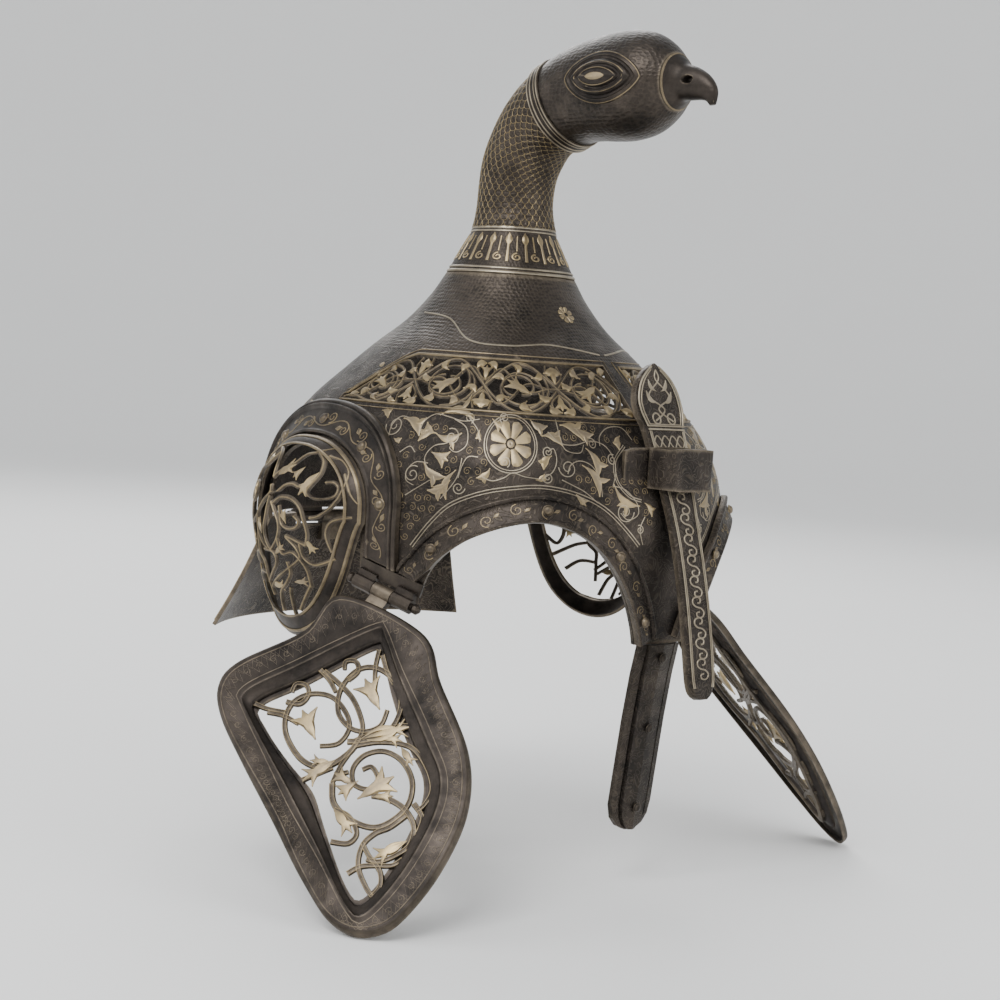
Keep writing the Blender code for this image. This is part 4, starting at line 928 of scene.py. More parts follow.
def contour(stroke, share, wire):
    """Two fine lines that follow a stroke on both sides, at a share of its half width."""
    line, radius, closed = stroke
    ahead = np.gradient(line[:, :2], axis=0)
    normal = np.stack((-ahead[:, 1], ahead[:, 0]), -1) / np.linalg.norm(ahead, axis=1, keepdims=True)
    offset = normal * (share * np.broadcast_to(radius, len(line)))[:, None]
    return [(line[:, :2] + offset, wire, closed), (line[:, :2] - offset, wire, closed)]


def filling_curls(strokes, spots, room, reach, wire):
    """Small curls at the spots that no stroke comes within room of."""
    taken = np.concatenate([np.asarray(line)[:, :2] for line, _, _ in strokes])
    curling = []
    for i, spot in enumerate(spots):
        if np.hypot(*(taken - spot).T).min() > room:
            turn = 1 if i % 2 else -1
            curling.append(coil(spot, reach, 77 * i, 1.4 * turn, wire, wire * 0.8, 0.15, 13))
    return curling


def pairs(points, across=1.0):
    return [(x * across, y) for x, y in points]


# ---------------------------------------------------------------- finishes

def add_node(tree, kind, inputs=None, **settings):
    made = tree.nodes.new(kind)
    for key, value in settings.items():
        setattr(made, key, value)
    for key, value in (inputs or {}).items():
        if isinstance(value, bpy.types.NodeSocket):
            tree.links.new(value, made.inputs[key])
        else:
            made.inputs[key].default_value = value
    return made


def noise(tree, spot, scale, detail=5.0, rough=0.6, warp=0.0):
    return add_node(tree, "ShaderNodeTexNoise", {
        "Vector": spot, "Scale": scale, "Detail": detail, "Roughness": rough, "Distortion": warp,
    }).outputs["Fac"]


def reshape(tree, value, low, high, start=0.0, end=1.0):
    return add_node(tree, "ShaderNodeMapRange", {
        "Value": value, "From Min": low, "From Max": high, "To Min": start, "To Max": end,
    }).outputs["Result"]


def maths(tree, operation, first, second=0.0):
    made = add_node(tree, "ShaderNodeMath", {0: first, 1: second}, operation=operation)
    return made.outputs[0]


def blend_colour(tree, factor, first, second, kind="MIX"):
    made = add_node(tree, "ShaderNodeMix", data_type="RGBA", blend_type=kind)
    for index, value in ((0, factor), (6, first), (7, second)):
        if isinstance(value, bpy.types.NodeSocket):
            tree.links.new(value, made.inputs[index])
        else:
            made.inputs[index].default_value = value
    return made.outputs[2]


def curls(tree, size, fineness):
    """Engraved scribbles: winding lines at even heights of a smooth noise."""
    spot = add_node(tree, "ShaderNodeTexCoord").outputs["Object"]
    hills = noise(tree, spot, 1 / (size * MM), 1.0, 0.4, 0.8)
    lines = maths(tree, "SINE", maths(tree, "MULTIPLY", hills, fineness))
    return reshape(tree, lines, 0.45, 0.98)


def scaling(tree, size, _):
    """Fine punched scales."""
    spot = add_node(tree, "ShaderNodeTexCoord").outputs["Object"]
    cells = add_node(tree, "ShaderNodeTexVoronoi", {"Vector": spot, "Scale": 1 / (size * MM), "Randomness": 0.35})
    return reshape(tree, cells.outputs["Distance"], 0.30, 0.62)


def feathers(tree, size, _):
    """Fine feather edges that run back along the head."""
    spot = add_node(tree, "ShaderNodeTexCoord").outputs["Object"]
    long_way = add_node(tree, "ShaderNodeMapping", {"Vector": spot, "Scale": (1.0, 0.62, 1.0)})
    cells = add_node(tree, "ShaderNodeTexVoronoi", {
        "Vector": long_way.outputs["Vector"], "Scale": 1 / (size * MM), "Randomness": 0.6})
    return reshape(tree, cells.outputs["Distance"], 0.34, 0.62)


def crown_and_wall(tree, size, fineness):
    """Fine scales on the crown's cone, and engraved curls on the wall below the band."""
    spot = add_node(tree, "ShaderNodeTexCoord").outputs["Object"]
    level = add_node(tree, "ShaderNodeSeparateXYZ", {"Vector": spot}).outputs["Z"]
    high = reshape(tree, level, BAND_TOP + 2 * MM, BAND_TOP + 2.4 * MM)
    return blend_colour(tree, high, curls(tree, size, fineness), scaling(tree, 1.7, 0))


def metal(name, colours, rough, metallic=0.85, pattern=None, size=8.0, fineness=40.0, depth=0.0, tint=0.0,
          grain=0.10, wear=1.0):
    """Aged metal: blotched patina from dark to light, worn edges, fine grain and an engraved pattern."""
    dark, light, worn = (tuple(colour) + (1.0,) for colour in colours)
    material = bpy.data.materials.new(name)
    material.use_nodes = True
    tree = material.node_tree
    shader = tree.nodes["Principled BSDF"]
    spot = add_node(tree, "ShaderNodeTexCoord").outputs["Object"]
    blotches = noise(tree, spot, 34.0, 7.0, 0.62, 0.4)
    grains = noise(tree, spot, 420.0, 4.0, 0.65)
    specks = noise(tree, spot, 130.0, 6.0, 0.7)
    mottled = maths(tree, "ADD", maths(tree, "MULTIPLY", blotches, 0.62), maths(tree, "MULTIPLY", specks, 0.38))
    colour = blend_colour(tree, reshape(tree, mottled, 0.40, 0.62), dark, light)
    point = add_node(tree, "ShaderNodeNewGeometry").outputs["Pointiness"]
    edge = maths(tree, "MULTIPLY", reshape(tree, point, 0.52, 0.60, 0.0, wear),
                 reshape(tree, specks, 0.36, 0.60, 0.35, 1.0))
    hollow = reshape(tree, point, 0.485, 0.42, 0.0, 0.75)
    height = maths(tree, "MULTIPLY", grains, grain)
    if pattern:
        lines = pattern(tree, size, fineness)
        colour = blend_colour(tree, maths(tree, "MULTIPLY", lines, tint), colour, worn)
        height = maths(tree, "ADD", height, lines)
    colour = blend_colour(tree, edge, colour, worn)
    colour = blend_colour(tree, hollow, colour, tuple(0.35 * value for value in dark[:3]) + (1.0,))
    bump = add_node(tree, "ShaderNodeBump", {"Height": height, "Strength": 0.75, "Distance": (depth or 0.15) * MM})
    roughness = reshape(tree, maths(tree, "ADD", mottled, maths(tree, "MULTIPLY", edge, -0.2)), 0.35, 0.65,
                        rough[1], rough[0])
    tree.links.new(colour, shader.inputs["Base Color"])
    tree.links.new(roughness, shader.inputs["Roughness"])
    tree.links.new(bump.outputs["Normal"], shader.inputs["Normal"])
    shader.inputs["Metallic"].default_value = metallic
    return material


FINISHES = {}


def make_finishes(colours):
    """All the finishes of the helmet, from the chosen colours."""
    patina = (colours.patina_dark, colours.patina_light, colours.worn)
    rubbed = (colours.patina_light, colours.worn, colours.inlay)
    bright = (colours.worn, colours.inlay, colours.inlay_bright)
    silver = (colours.worn, colours.silver, colours.silver)
    soft, fine = (0.36, 0.56), (0.34, 0.54)
    for key, name, tones, rough, settings in (
            ("bowl", "Bowl brass", patina, (0.36, 0.58),
             dict(pattern=crown_and_wall, size=6, fineness=46, depth=0.16, tint=0.16)),
            ("plain", "Plain aged brass", patina, soft, {}),
            ("curled", "Engraved brass", patina, soft,
             dict(pattern=curls, size=5.5, fineness=44, depth=0.25, tint=0.22)),
            ("border", "Engraved border brass", patina, fine,
             dict(pattern=curls, size=5.5, fineness=44, depth=0.26, tint=0.38)),
            ("neck", "Scaled neck brass", patina, (0.36, 0.58), dict(pattern=scaling, size=1.3, depth=0.10, tint=0.10)),
            ("head", "Feathered head brass", patina, fine, dict(pattern=feathers, size=1.6, depth=0.14, tint=0.07)),
            ("stem", "Pierced stem brass", patina, (0.32, 0.52),
             dict(pattern=curls, size=5.0, fineness=40, depth=0.12, tint=0.22)),
            ("worn", "Rubbed engraving", patina, fine, dict(grain=0.3)),
            ("kept", "Aged fitting brass", patina, soft, dict(wear=0.12)),
            ("kept_engraved", "Engraved fitting brass", patina, soft,
             dict(pattern=curls, size=5.0, fineness=42, depth=0.22, tint=0.14, wear=0.12)),
            ("line", "Engraved line brass", rubbed, (0.32, 0.5), {}),
            ("rim", "Rubbed rim brass", rubbed, (0.28, 0.46), dict(metallic=0.95)),
            ("inlay", "Brass inlay", bright, (0.26, 0.44), dict(metallic=0.95)),
            ("silver", "Silver inlay", silver, (0.28, 0.46), dict(metallic=0.95))):
        FINISHES[key] = metal(name, tones, rough, **settings)


# ---------------------------------------------------------------- ornament tables, drawn
# On the bowl: degrees from the front and millimetres above the wall line.
BOWL_STRETCH = 1.9

FLORAL_LEAVES = (
    (74, 39.7, 68, 32.5, 5), (63.8, 34.5, 67.9, 30.3, 4), (63.8, 34.5, 66.8, 38.9, 4), (63.8, 34.5, 57, 35.4, 4),
    (64, 42.4, 54.2, 41.4, 4), (65.2, 21.5, 59.3, 15.9, 4.5), (58.2, 14.8, 63.4, 9.5, 4.2),
    (57.1, 19.3, 58.7, 6, 3.6), (49.1, 21.3, 52.2, 16.6, 3.6), (39.4, 43.6, 34.6, 41.1, 4),
    (31.2, 41.8, 25.1, 35.6, 5), (27.4, 42.6, 21.8, 38.8, 4), (36.4, 36.6, 31.1, 32.9, 4.4),
    (13.7, 38.6, 15.1, 32.5, 4), (25, 32.6, 22.7, 20, 4.4), (34.2, 28.3, 36.3, 22.1, 4),
    (26.6, 25.2, 22.5, 11.8, 4.4), (18.5, 17.7, 11.4, 8.5, 4), (9.9, 9.9, 7.8, 3.8, 3.4),
    (52.5, 37.3, 51.9, 33, 3), (82, 42.3, 78.9, 39.1, 3.2), (74.7, 30.6, 72.5, 31, 2.6),
    (18, 8.2, 15.5, 7.5, 2.8), (38.2, 17.6, 36.1, 20.4, 2.8),
)
FLORAL_FANS = ((63.7, 26.1, 59.3, 22.9, 8), (49.5, 42.5, 46.5, 38.5, 6), (28.5, 12.5, 26, 7.5, 5))
FLORAL_VINES = (
    ((76.2, 29.5), (76.7, 36.2), (74.8, 40.5), (70.6, 39.3)),
    ((68, 32.5), (67.9, 38.8), (65.2, 42.7), (61.1, 41.9), (57.1, 40.6), (52.9, 42)),
    ((59.6, 41.2), (56, 37.7), (55.3, 30.8), (57.5, 27), (59.4, 28.5), (58.6, 30.8)),
    ((59.4, 33.3), (60.3, 30.6), (63.5, 28.8), (65.2, 23.7), (63.9, 19.1), (60.8, 17)),
    ((64.1, 21.2), (67.2, 21.2), (69.1, 17.3), (68.9, 13), (66.9, 11.1)),
    ((56, 24.6), (56.5, 17.2), (58, 11.7), (60.1, 6.2)),
    ((52.2, 25.6), (54.6, 25.3), (55.8, 21.2), (56.4, 15.9)),
    ((50.8, 17.2), (48.4, 15.8), (45.7, 17.5), (43.7, 19.9), (40.8, 18.6), (37.2, 18.1)),
    ((35.1, 29.9), (33.6, 31.4), (33, 26.7), (34.1, 21.5), (36.5, 18.6)),
    ((32.1, 43.9), (31.6, 37.1), (30.5, 31.3), (26.8, 30.3), (25.4, 33.9)),
    ((34.7, 38.5), (31.8, 34.1), (27.9, 33.6), (23.4, 35.7), (19.6, 34.3), (17.7, 29.4), (17.6, 22.9), (18.8, 16.8)),
    ((30.4, 21), (29.5, 24.9), (27, 26.9), (24, 25), (22.2, 19.2), (21.8, 11.9)),
    ((20.8, 33.8), (20.1, 38.1), (16.9, 41.8), (12.1, 42.1), (10, 37.1)),
    ((18.8, 16.8), (15.3, 15.3), (12.3, 9.8), (12.1, 4.6), (15, 2.3), (17, 5.2)),
    ((10, 3.8), (11.5, -2), (10.5, -8.6)),
    ((31.9, 18.3), (30, 16.8), (26.3, 13.7), (23.1, 9.2)),
    ((68.6, 6.4), (65.7, 10.4), (63, 14)),
    ((72, 24.8), (69.7, 27.8), (68, 25.4)),
    ((55.6, 42.1), (53, 37.2), (52.1, 32.1)),
)
FLORAL_COILS = (
    (75.8, 36.3, 5), (59.4, 33.3, 4), (67.6, 15.8, 4), (56.1, 11.6, 3), (45.7, 24.4, 2.6), (35.1, 29.9, 2.6),
    (30.3, 23.6, 4.5), (23, 34.5, 2.5), (18.1, 28, 2.6), (15.8, 5.7, 5), (55.6, 42.1, 2.6), (46.2, 43.3, 2.6),
    (35.3, 18.8, 2.6), (11.5, -2, 2.2),
)
EYE_BORDER = (
    (66.3, -15.3), (61.9, -3.4), (57.7, 4.8), (51, 10.7), (43.7, 13.9), (36, 15.3), (27.6, 12.7), (19.9, 5.9),
    (11.4, -8.6),
)
FOOT_BORDER = ((13.2, 33.9), (17.1, 27.3), (17.3, 19.5), (14.3, 13.2), (10.8, 11.2))
EAR_BORDER = ((72.2, -5.4), (73.5, 12.1), (76.5, 25), (82.4, 34), (92.4, 40.1), (103.3, 40.8), (114.2, 37.7))
ROSETTE = (44.4, 32.3)
CROWN_ROSETTE = (6.5, 91.8)
CROWN_WAVE = ((106.7, 88.8), (81, 86.5), (63, 76.8), (45, 75.5), (26.5, 77.1), (1.7, 74.1))

# On a cheek guard: millimetres along the hinge and down from it
GUARD_COILS = (
    ((31.5, 62.5), (31, 71), (25.5, 81), (15, 83), (3, 78), (-3.5, 71), (-5, 62.5), (0, 55.5), (9, 52.5),
     (18.5, 55.5), (24.5, 61), (24.5, 69), (18, 74)),
    ((27.5, 66.5), (36, 61), (41, 53), (39.5, 43), (33, 35), (23.5, 31.5), (15, 33), (10.5, 39), (10.5, 48.5),
     (15.5, 57), (24, 60.5), (31.5, 59), (36, 53.5), (34.5, 46)),
    ((33, 85.5), (39, 92.5), (49.5, 95), (60.5, 93), (66, 86), (67.5, 77), (63, 68), (54, 62.5), (44.5, 62.5),
     (38, 68), (37, 75.5), (41.5, 81), (48.5, 80), (49.5, 74.5), (44, 71), (41, 74)),
    ((51.5, 81.5), (58.5, 79.5), (67.5, 80), (75.5, 84.5), (78.5, 92), (76, 98.5), (71.5, 104), (66, 106)),
    ((69.5, 82), (66.5, 89.5), (62.5, 95), (61, 102), (64.5, 110), (72, 115.5), (77.5, 118)),
)
GUARD_STEMS = (
    ((-3.4, 44.3), (3, 46.4), (8.9, 49.7)), ((-20, 71.6), (-13.3, 70.8), (-4.9, 68.2)),
    ((31.3, 80.5), (34, 79.6), (36.2, 77.8)),
    ((-1.5, 44), (7, 45.5), (17, 48.5), (25.5, 54), (30.5, 59.5), (31.5, 66.5), (31.5, 77), (33, 85.5)),
    ((-12.5, 72), (-5, 70), (3, 70)), ((-8, 64), (-2, 62), (-1, 57), (-4.5, 53.5), (-9, 55), (-8.5, 59)),
    ((14.5, 24), (17.5, 31), (21.5, 37.5)), ((10.5, 42.5), (12, 37), (8.5, 33.5), (4.5, 35.5), (6, 39)),
    ((17.5, 25.5), (24, 31), (30, 34.5)),
    ((31.5, 66.5), (41, 59.5), (53.5, 55.5), (64.5, 59.5), (72.5, 66.5), (74, 73.5), (72.5, 78.5)),
    ((30, 65), (36.5, 56.5), (44.5, 49), (50.5, 47)), ((77.5, 118), (78, 113), (74, 107.5), (65.5, 104), (60.5, 101)),
    ((48, 107), (55, 104), (55.5, 98.5), (48, 94), (41, 94.5)),
    ((62.5, 115), (65.5, 110), (70.5, 106.5), (77, 103), (79.5, 98.5)),
    ((20.5, 90.5), (25, 84.5), (29, 79.5)), ((69.5, 76), (76.5, 79.5), (78.5, 86)),
)
GUARD_TULIPS = (
    (14.5, 72.5, 1, 64, 13), (31.5, 47.5, 17, 38.5, 13), (32, 63, 49, 47, 9), (38, 58, 49, 55, 7),
    (28, 76, 21, 90.5, 10), (27.5, 78, 18, 81.5, 6), (47, 86, 55, 70, 14), (52, 82, 60, 77.5, 7),
    (42.5, 79, 38.5, 88.5, 9), (42, 81.5, 31, 81, 8), (76.5, 91, 68.5, 104.5, 9), (40.5, 94.5, 54, 99.5, 9),
    (50, 57.5, 59.5, 62, 6),
)

# One wire of the nasal bar: millimetres across it and down from its start, repeated at each step
BAR_WAVE_STEP = 9.4
BAR_WAVE = (
    (-0.4, 3.2), (1.4, 2.9), (1.6, 1.2), (-0.6, 0.4), (-3.0, 1.2), (-3.5, 3.2), (-1.6, 4.8), (1.6, 5.6), (3.5, 7.4),
    (2.8, 9.2), (0.6, 9.8), (-1.4, 9.0), (-1.2, 7.5), (0.5, 7.2),
)

# On an ear boss: millimetres behind and above its middle
BOSS_STEMS = (
    ((-22, 26.5), (-28.5, 25.5), (-34, 21), (-35, 14.5), (-33, 6.5), (-28, 1.5), (-23.5, 0)),
    ((-16, 27.5), (-21, 24), (-23, 19.5), (-22.5, 16), (-20, 10.5), (-23, 8), (-28, 8), (-32.5, 10), (-33, 13.5),
     (-30.5, 15.5), (-27, 15)),
    ((3.5, 14), (-1, 17.5), (-6.5, 20.5), (-10.5, 25.5), (-14, 27), (-22, 30.5)),
    ((-22.5, 16), (-16, 12), (-11.5, 12.5), (-7, 11.5), (-2.5, 8.5), (2.5, 7)),
    ((-33, 20), (-38.5, 11.5), (-42, 8)), ((-41, 2), (-34, 0), (-31, -3.5), (-30.5, -8), (-32, -14)),
    ((-0.5, 3), (-6, 6), (-13, 6), (-18, 3.5), (-20.5, -1), (-22, -6.5), (-21, -12)),
    ((-6, 3), (-7, 0.5), (-8.5, -4), (-12.5, -5.5), (-16.5, -4.5), (-18, -2), (-15.5, 0)),
    ((3, 11), (2.5, 7), (7.5, 3.5), (12, -1.5), (12, -8), (7.5, -13.5), (2.5, -16)),
    ((2, 6), (4, -1.5), (5.5, -7), (3.5, -13), (-1, -17)), ((0, 4), (-6, -3.5), (-5, -10.5), (0, -16.5)),
    ((-21, -12), (-11, -9), (-16, -13.5), (-17.5, -18), (-11.5, -23), (-1.5, -29.5), (4, -34)),
    ((5.5, -16.5), (-1.5, -17), (-3.5, -21.5), (1.5, -27.5), (6, -32)),
    ((-5, -10.5), (-8, -17), (-14, -16), (-18.5, -20), (-20.5, -24), (-21, -31)),
    ((12, -8), (11.5, -18), (7, -22.5), (6, -28), (4, -38)),
    ((-33, -17), (-24.5, -20.5), (-19.5, -17.5), (-18, -11.5)),
    ((0, -45), (-2.5, -36), (-8, -30.5), (-11.5, -25.5), (-10.5, -20.5)), ((-8, -46), (-9, -36.5), (-10, -32.5)),
    ((-21, -30), (-17, -36), (-12, -43)),
    ((34, 19), (27, 26), (18, 28), (10, 25), (6, 20), (3.5, 14)),
    ((10, 25), (16, 19), (23, 17), (28, 12), (27, 6), (21, 3), (17, 6), (18, 10), (22, 11)),
    ((41, 8), (34, 5), (30, -2), (22, -6), (12, -1.5)), ((38, -6), (30, -2), (24, -12), (26, -20), (32, -16)),
    ((27, -26), (18, -20), (11.5, -18)), ((20, -33), (14, -28), (6, -28)),
)
BOSS_TULIPS = (
    (2, 15, -8, 20.5, 7), (-22.5, 19, -16, 8.5, 8), (-14, 20, -10, 15, 5), (-11, -3.5, -8, 1.5, 5),
    (-21, -9, -25, -15, 5), (3, -32.5, -7, -32, 5), (-13, -29.5, -20, -28.5, 4.5), (12, 22, 20, 21, 6),
    (20, 4, 26, 10, 6), (24, -10, 20, -16, 5), (-3, -18, -9, -13, 4.5), (8, -10, 12, -3, 5),
)


# ---------------------------------------------------------------- sizes and colours that a user changes

def length(name, description, default):
    return bpy.props.FloatProperty(name=name, description=description, default=default, min=0.01, max=20.0,
                                   precision=2)


def colour(name, description, default):
    return bpy.props.FloatVectorProperty(name=name, description=description, default=default, subtype="COLOR",
                                         size=3, min=0.0, max=1.0)


class HelmetSizes(bpy.types.PropertyGroup):
    stem_width: length("Band stem width", "Width of the band's pierced stems, in millimetres", 1.9)
    stem_height: length("Band stem height", "Half height of the band's pierced stems, in millimetres", 1.1)
    border_wire: length("Border wire", "Radius of the raised wire round the pierced band, in millimetres", 0.6)
    leaf_rise: length("Inlay rise", "Rise of the inlaid brass leaves over the bowl, in millimetres", 0.14)
    silver_wire: length("Silver wire", "Radius of the inlaid silver lines, in millimetres", 0.26)
    guard_stem: length("Guard stem width", "Width of the stems in the cheek guards, in millimetres", 3.5)
    boss_stem: length("Boss stem width", "Width of the stems on the ear bosses, in millimetres", 2.2)
    rivet_radius: length("Rivet radius", "Radius of the domed rivets, in millimetres", 2.6)
    rivet_height: length("Rivet height", "Height of the domed rivets, in millimetres", 1.7)


class HelmetColours(bpy.types.PropertyGroup):
    patina_dark: colour("Dark patina", "Darkest tone of the aged brass", (0.017, 0.0145, 0.013))
    patina_light: colour("Light patina", "Lighter tone of the aged brass", (0.058, 0.047, 0.039))
    worn: colour("Worn brass", "Tone of rubbed edges and engraved lines", (0.190, 0.155, 0.112))
    inlay: colour("Brass inlay", "Tone of the inlaid brass leaves", (0.34, 0.26, 0.135))
    inlay_bright: colour("Bright inlay", "Tone of the rubbed inlay", (0.43, 0.335, 0.185))
    silver: colour("Silver inlay", "Tone of the inlaid silver lines", (0.38, 0.33, 0.245))
    floor: colour("Floor", "Colour of the plain floor", (0.90, 0.90, 0.89))


def sizes():
    return bpy.context.scene.helmet_sizes


def colours():
    return bpy.context.scene.helmet_colours


class HelmetOperator:
    bl_options = {"REGISTER", "UNDO"}

    def execute(self, context):
        if not FINISHES:
            make_finishes(colours())
        self.build()
        return {"FINISHED"}


# ---------------------------------------------------------------- bowl

def wall_cutter(name, stations):
    """Block that cuts the wall below a line of (angle, level) stations."""
    rings = []
    for angle, level in stations:
        low = -2 * SKIRT_DEPTH
        rings.append([bowl_point(angle, level, CUT_REACH), bowl_point(angle, level, -CUT_REACH),
                      bowl_point(angle, low, -CUT_REACH), bowl_point(angle, low, CUT_REACH)])
    return add_loft(name, np.array(rings))


def box_cutter(name, low, high, matrix=None):
    low, high = Vector(low), Vector(high)
    deselect()
    bpy.ops.mesh.primitive_cube_add(size=1, location=(low + high) / 2)
    piece = bpy.context.object
    piece.name = name
    piece.scale = high - low
    bpy.ops.object.transform_apply(location=True, rotation=True, scale=True)
    if matrix:
        piece.data.transform(matrix)
    return piece


def cheek_matrix(side):
    point, axis, down, _ = cheek_axes(side)
    up = -down
    across = np.cross(up, axis)
    matrix = Matrix.Identity(4)
    for row in range(3):
        matrix[row][0], matrix[row][1], matrix[row][2] = axis[row], across[row], up[row]
        matrix[row][3] = point[row]
    return matrix


def window_top(angle):
    """Upper edge of the pierced band, which falls to a point at its rear end."""
    share = np.clip((angle - BAND_NARROWING) / (BAND_START + BAND_CELLS * BAND_CELL - BAND_NARROWING), 0, 1)
    return BAND_TOP - (BAND_TOP - BAND_BOTTOM - 1.5 * MM) * share ** 1.6


def window_spots(side, reach):
    def place(u, v, stand):
        angle = BAND_START + BAND_CELLS * BAND_CELL * u
        level = BAND_BOTTOM + (window_top(angle) - BAND_BOTTOM) * v
        return bowl_point(side * angle, level, reach + stand)
    return place


class HELMET_OT_bowl(HelmetOperator, bpy.types.Operator):
    """Add the bowl with its eye openings, ear openings and pierced band"""
    bl_idname = "helmet.bowl"
    bl_label = "Bowl"

    def build(self):
        bottom = -SKIRT_DEPTH

        def place(u, v, stand):
            level = bottom + (CROWN_HEIGHT - bottom) * v
            skin = bowl_point(360 * u, level, 0)
            return skin + bowl_normal(360 * u, np.minimum(level, CROWN_HEIGHT - 1 * MM)) * stand[..., None]
        bowl = add_skin("bowl_shell", place, BOWL_COLUMNS, BOWL_ROWS, (0.70, 0.19), BOWL_WALL, closed=True)
        cutters = [box_cutter("rear_cutter", (-BOWL_WIDTH, EAR_INNER_HALF / 2, -2 * SKIRT_DEPTH),
                              (BOWL_WIDTH, BOWL_LENGTH, -REAR_EDGE))]
        arch = arch_line(8)
        ear = ear_line(-EAR_RECESS, 60)
        for side, name in SIDES:
            for kind, centre, line in (("eye", EYE_CENTRE, arch), ("ear", EAR_CENTRE, ear)):
                stations = [(side * wall_angle(centre, x, z), z) for x, z in line]
                cutters.append(wall_cutter(f"{kind}_cutter_{name}", stations))
            cutters.append(box_cutter(
                f"tab_cutter_{name}", (-HINGE_LENGTH, -SKIRT_DEPTH / 2, -3 * HINGE_LENGTH),
                (HINGE_LENGTH, SKIRT_DEPTH / 2, KNUCKLE_RADIUS + TAB_ROOM), cheek_matrix(side)))
            cutters.append(add_skin(f"window_cutter_{name}", window_spots(side, 6 * MM), 60, 8, (1, 1), 14 * MM))
        cut(bowl, cutters)
        finish_piece(bowl, "bowl", "helmet", ("bowl",), 30)


def band_strokes():
    """Scrollwork of the pierced band, from its front end to its pointed rear end."""
    width = sizes().stem_width / 2
    cell = BAND_CELL * BAND_STRETCH
    start = BAND_START * BAND_STRETCH
    middle = (BAND_TOP + BAND_BOTTOM) / 2
    half = (BAND_TOP - BAND_BOTTOM) / 2 * BAND_STEEP / MM

    def room(x):
        """Middle and half height of the window at x."""
        top = (window_top(np.asarray(x) / BAND_STRETCH) - middle) * BAND_STEEP / MM
        return (top - half) / 2, (top + half) / 2

    stems, leaves = [], []
    share = np.linspace(0, BAND_CELLS, 130)
    x = start + share * cell
    centre, tall = room(x)
    for phase in (1, -1):
        y = centre + phase * tall * 0.97 * np.sin(math.pi * share)
        stems.append((np.stack((x, y, 0.4 * phase * np.cos(math.pi * share)), -1), np.full(len(x), width), False))
        y = centre - phase * tall * 0.80 * np.sin(math.pi * share * 2) * np.cos(math.pi * share / 2) ** 2
        z = -0.3 * phase * np.cos(math.pi * share)
        stems.append((np.stack((x, y, z), -1), np.full(len(x), width * 0.8), False))
    for i in range(BAND_CELLS):
        x = start + (i + 0.5) * cell
        centre, tall = (float(value) for value in room(x))
        turn = 1 if i % 2 else -1
        reach = 0.93 * tall
        stems.append(coil((x, centre), reach, 90 * turn, 1.5 * turn, width, width * 0.8, 0.28, 22))
        stems.append(coil((x + 0.1 * reach, centre), reach * 0.9, 250 * turn, -0.9 * turn, width, width * 0.7, 0.4, 22))
        leaves += tulip((x - 0.3 * reach, centre - 0.25 * reach * turn),
                        (x + 0.42 * reach, centre + 0.3 * reach * turn), 0.62 * reach)
        for angle in (20, 75, 130, 200, 255, 310):
            ahead = np.array((math.cos(math.radians(angle)), math.sin(math.radians(angle))))
            base = np.array((x, centre)) + ahead * reach * 0.98
            leaves.append(leaf(base - ahead * reach * 0.42, base, 0.26 * reach, 0.4 * turn))
        for angle in (40, 140, 220, 320):
            ahead = np.array((math.cos(math.radians(angle)), math.sin(math.radians(angle))))
            base = np.array((x, centre)) + ahead * reach * 1.05
            leaves += split_leaf(base, base + ahead * reach * 0.42, 0.30 * reach, 0.25 * turn)
    for i in range(1, BAND_CELLS):
        x = start + i * cell
        centre, tall = (float(value) for value in room(x))
        for way in (1, -1):
            leaves += tulip((x, centre + way * 0.22 * tall), (x, centre + way * 0.80 * tall), 0.42 * tall)
            for side in (1, -1):
                stems.append(vine(((x, centre + way * 0.2 * tall), (x + side * 0.25 * tall, centre + way * 0.52 * tall),
                                   (x + side * 0.2 * tall, centre + way * 0.92 * tall)), width * 0.8, width * 0.6))
    return stems, leaves


def window_border(offset):
    """Closed line round the band's window, moved out by offset millimetres."""
    first, last = BAND_START, BAND_START + BAND_CELLS * BAND_CELL
    middle = (BAND_TOP + BAND_BOTTOM) / 2
    low = [(angle * BAND_STRETCH, (BAND_BOTTOM - middle) * BAND_STEEP / MM - offset)
           for angle in np.linspace(first, last + 1, 60)]
    high = [(angle * BAND_STRETCH, (float(window_top(angle)) - middle) * BAND_STEEP / MM + offset)
            for angle in np.linspace(last + 1, first, 70)]
    low[0], high[-1] = (low[0][0] - offset, low[0][1]), (high[-1][0] - offset, high[-1][1])
    return low + high


class HELMET_OT_band(HelmetOperator, bpy.types.Operator):
    """Add the scrollwork and border wires of the pierced band"""
    bl_idname = "helmet.band"
    bl_label = "Pierced band"

    def build(self):
        middle = (BAND_TOP + BAND_BOTTOM) / 2
        for side, name in SIDES:
            place = bowl_area(side, BAND_STRETCH, middle, BAND_STEEP)
            strokes, leaves = band_strokes()
            lay("plain", "helmet", f"band_scrolls_{name}", strokes, place, 1.5 * sizes().stem_height,
                -0.9)
            wires = [(line, radius * 0.22, closed) for line, radius, closed in strokes]
            lay("line", "helmet", f"band_wires_{name}", wires, place, 0.6, -0.15, roundness=1)
            lay("inlay", "helmet", f"band_leaves_{name}", leaves, place, 0.8, -0.5)
            wire = sizes().border_wire
            edges = [(window_border(0.6), wire, True), (window_border(3.6), wire * 0.45, True)]
            lay("line", "helmet", f"band_border_{name}", edges, place, 0.9, 0.1)


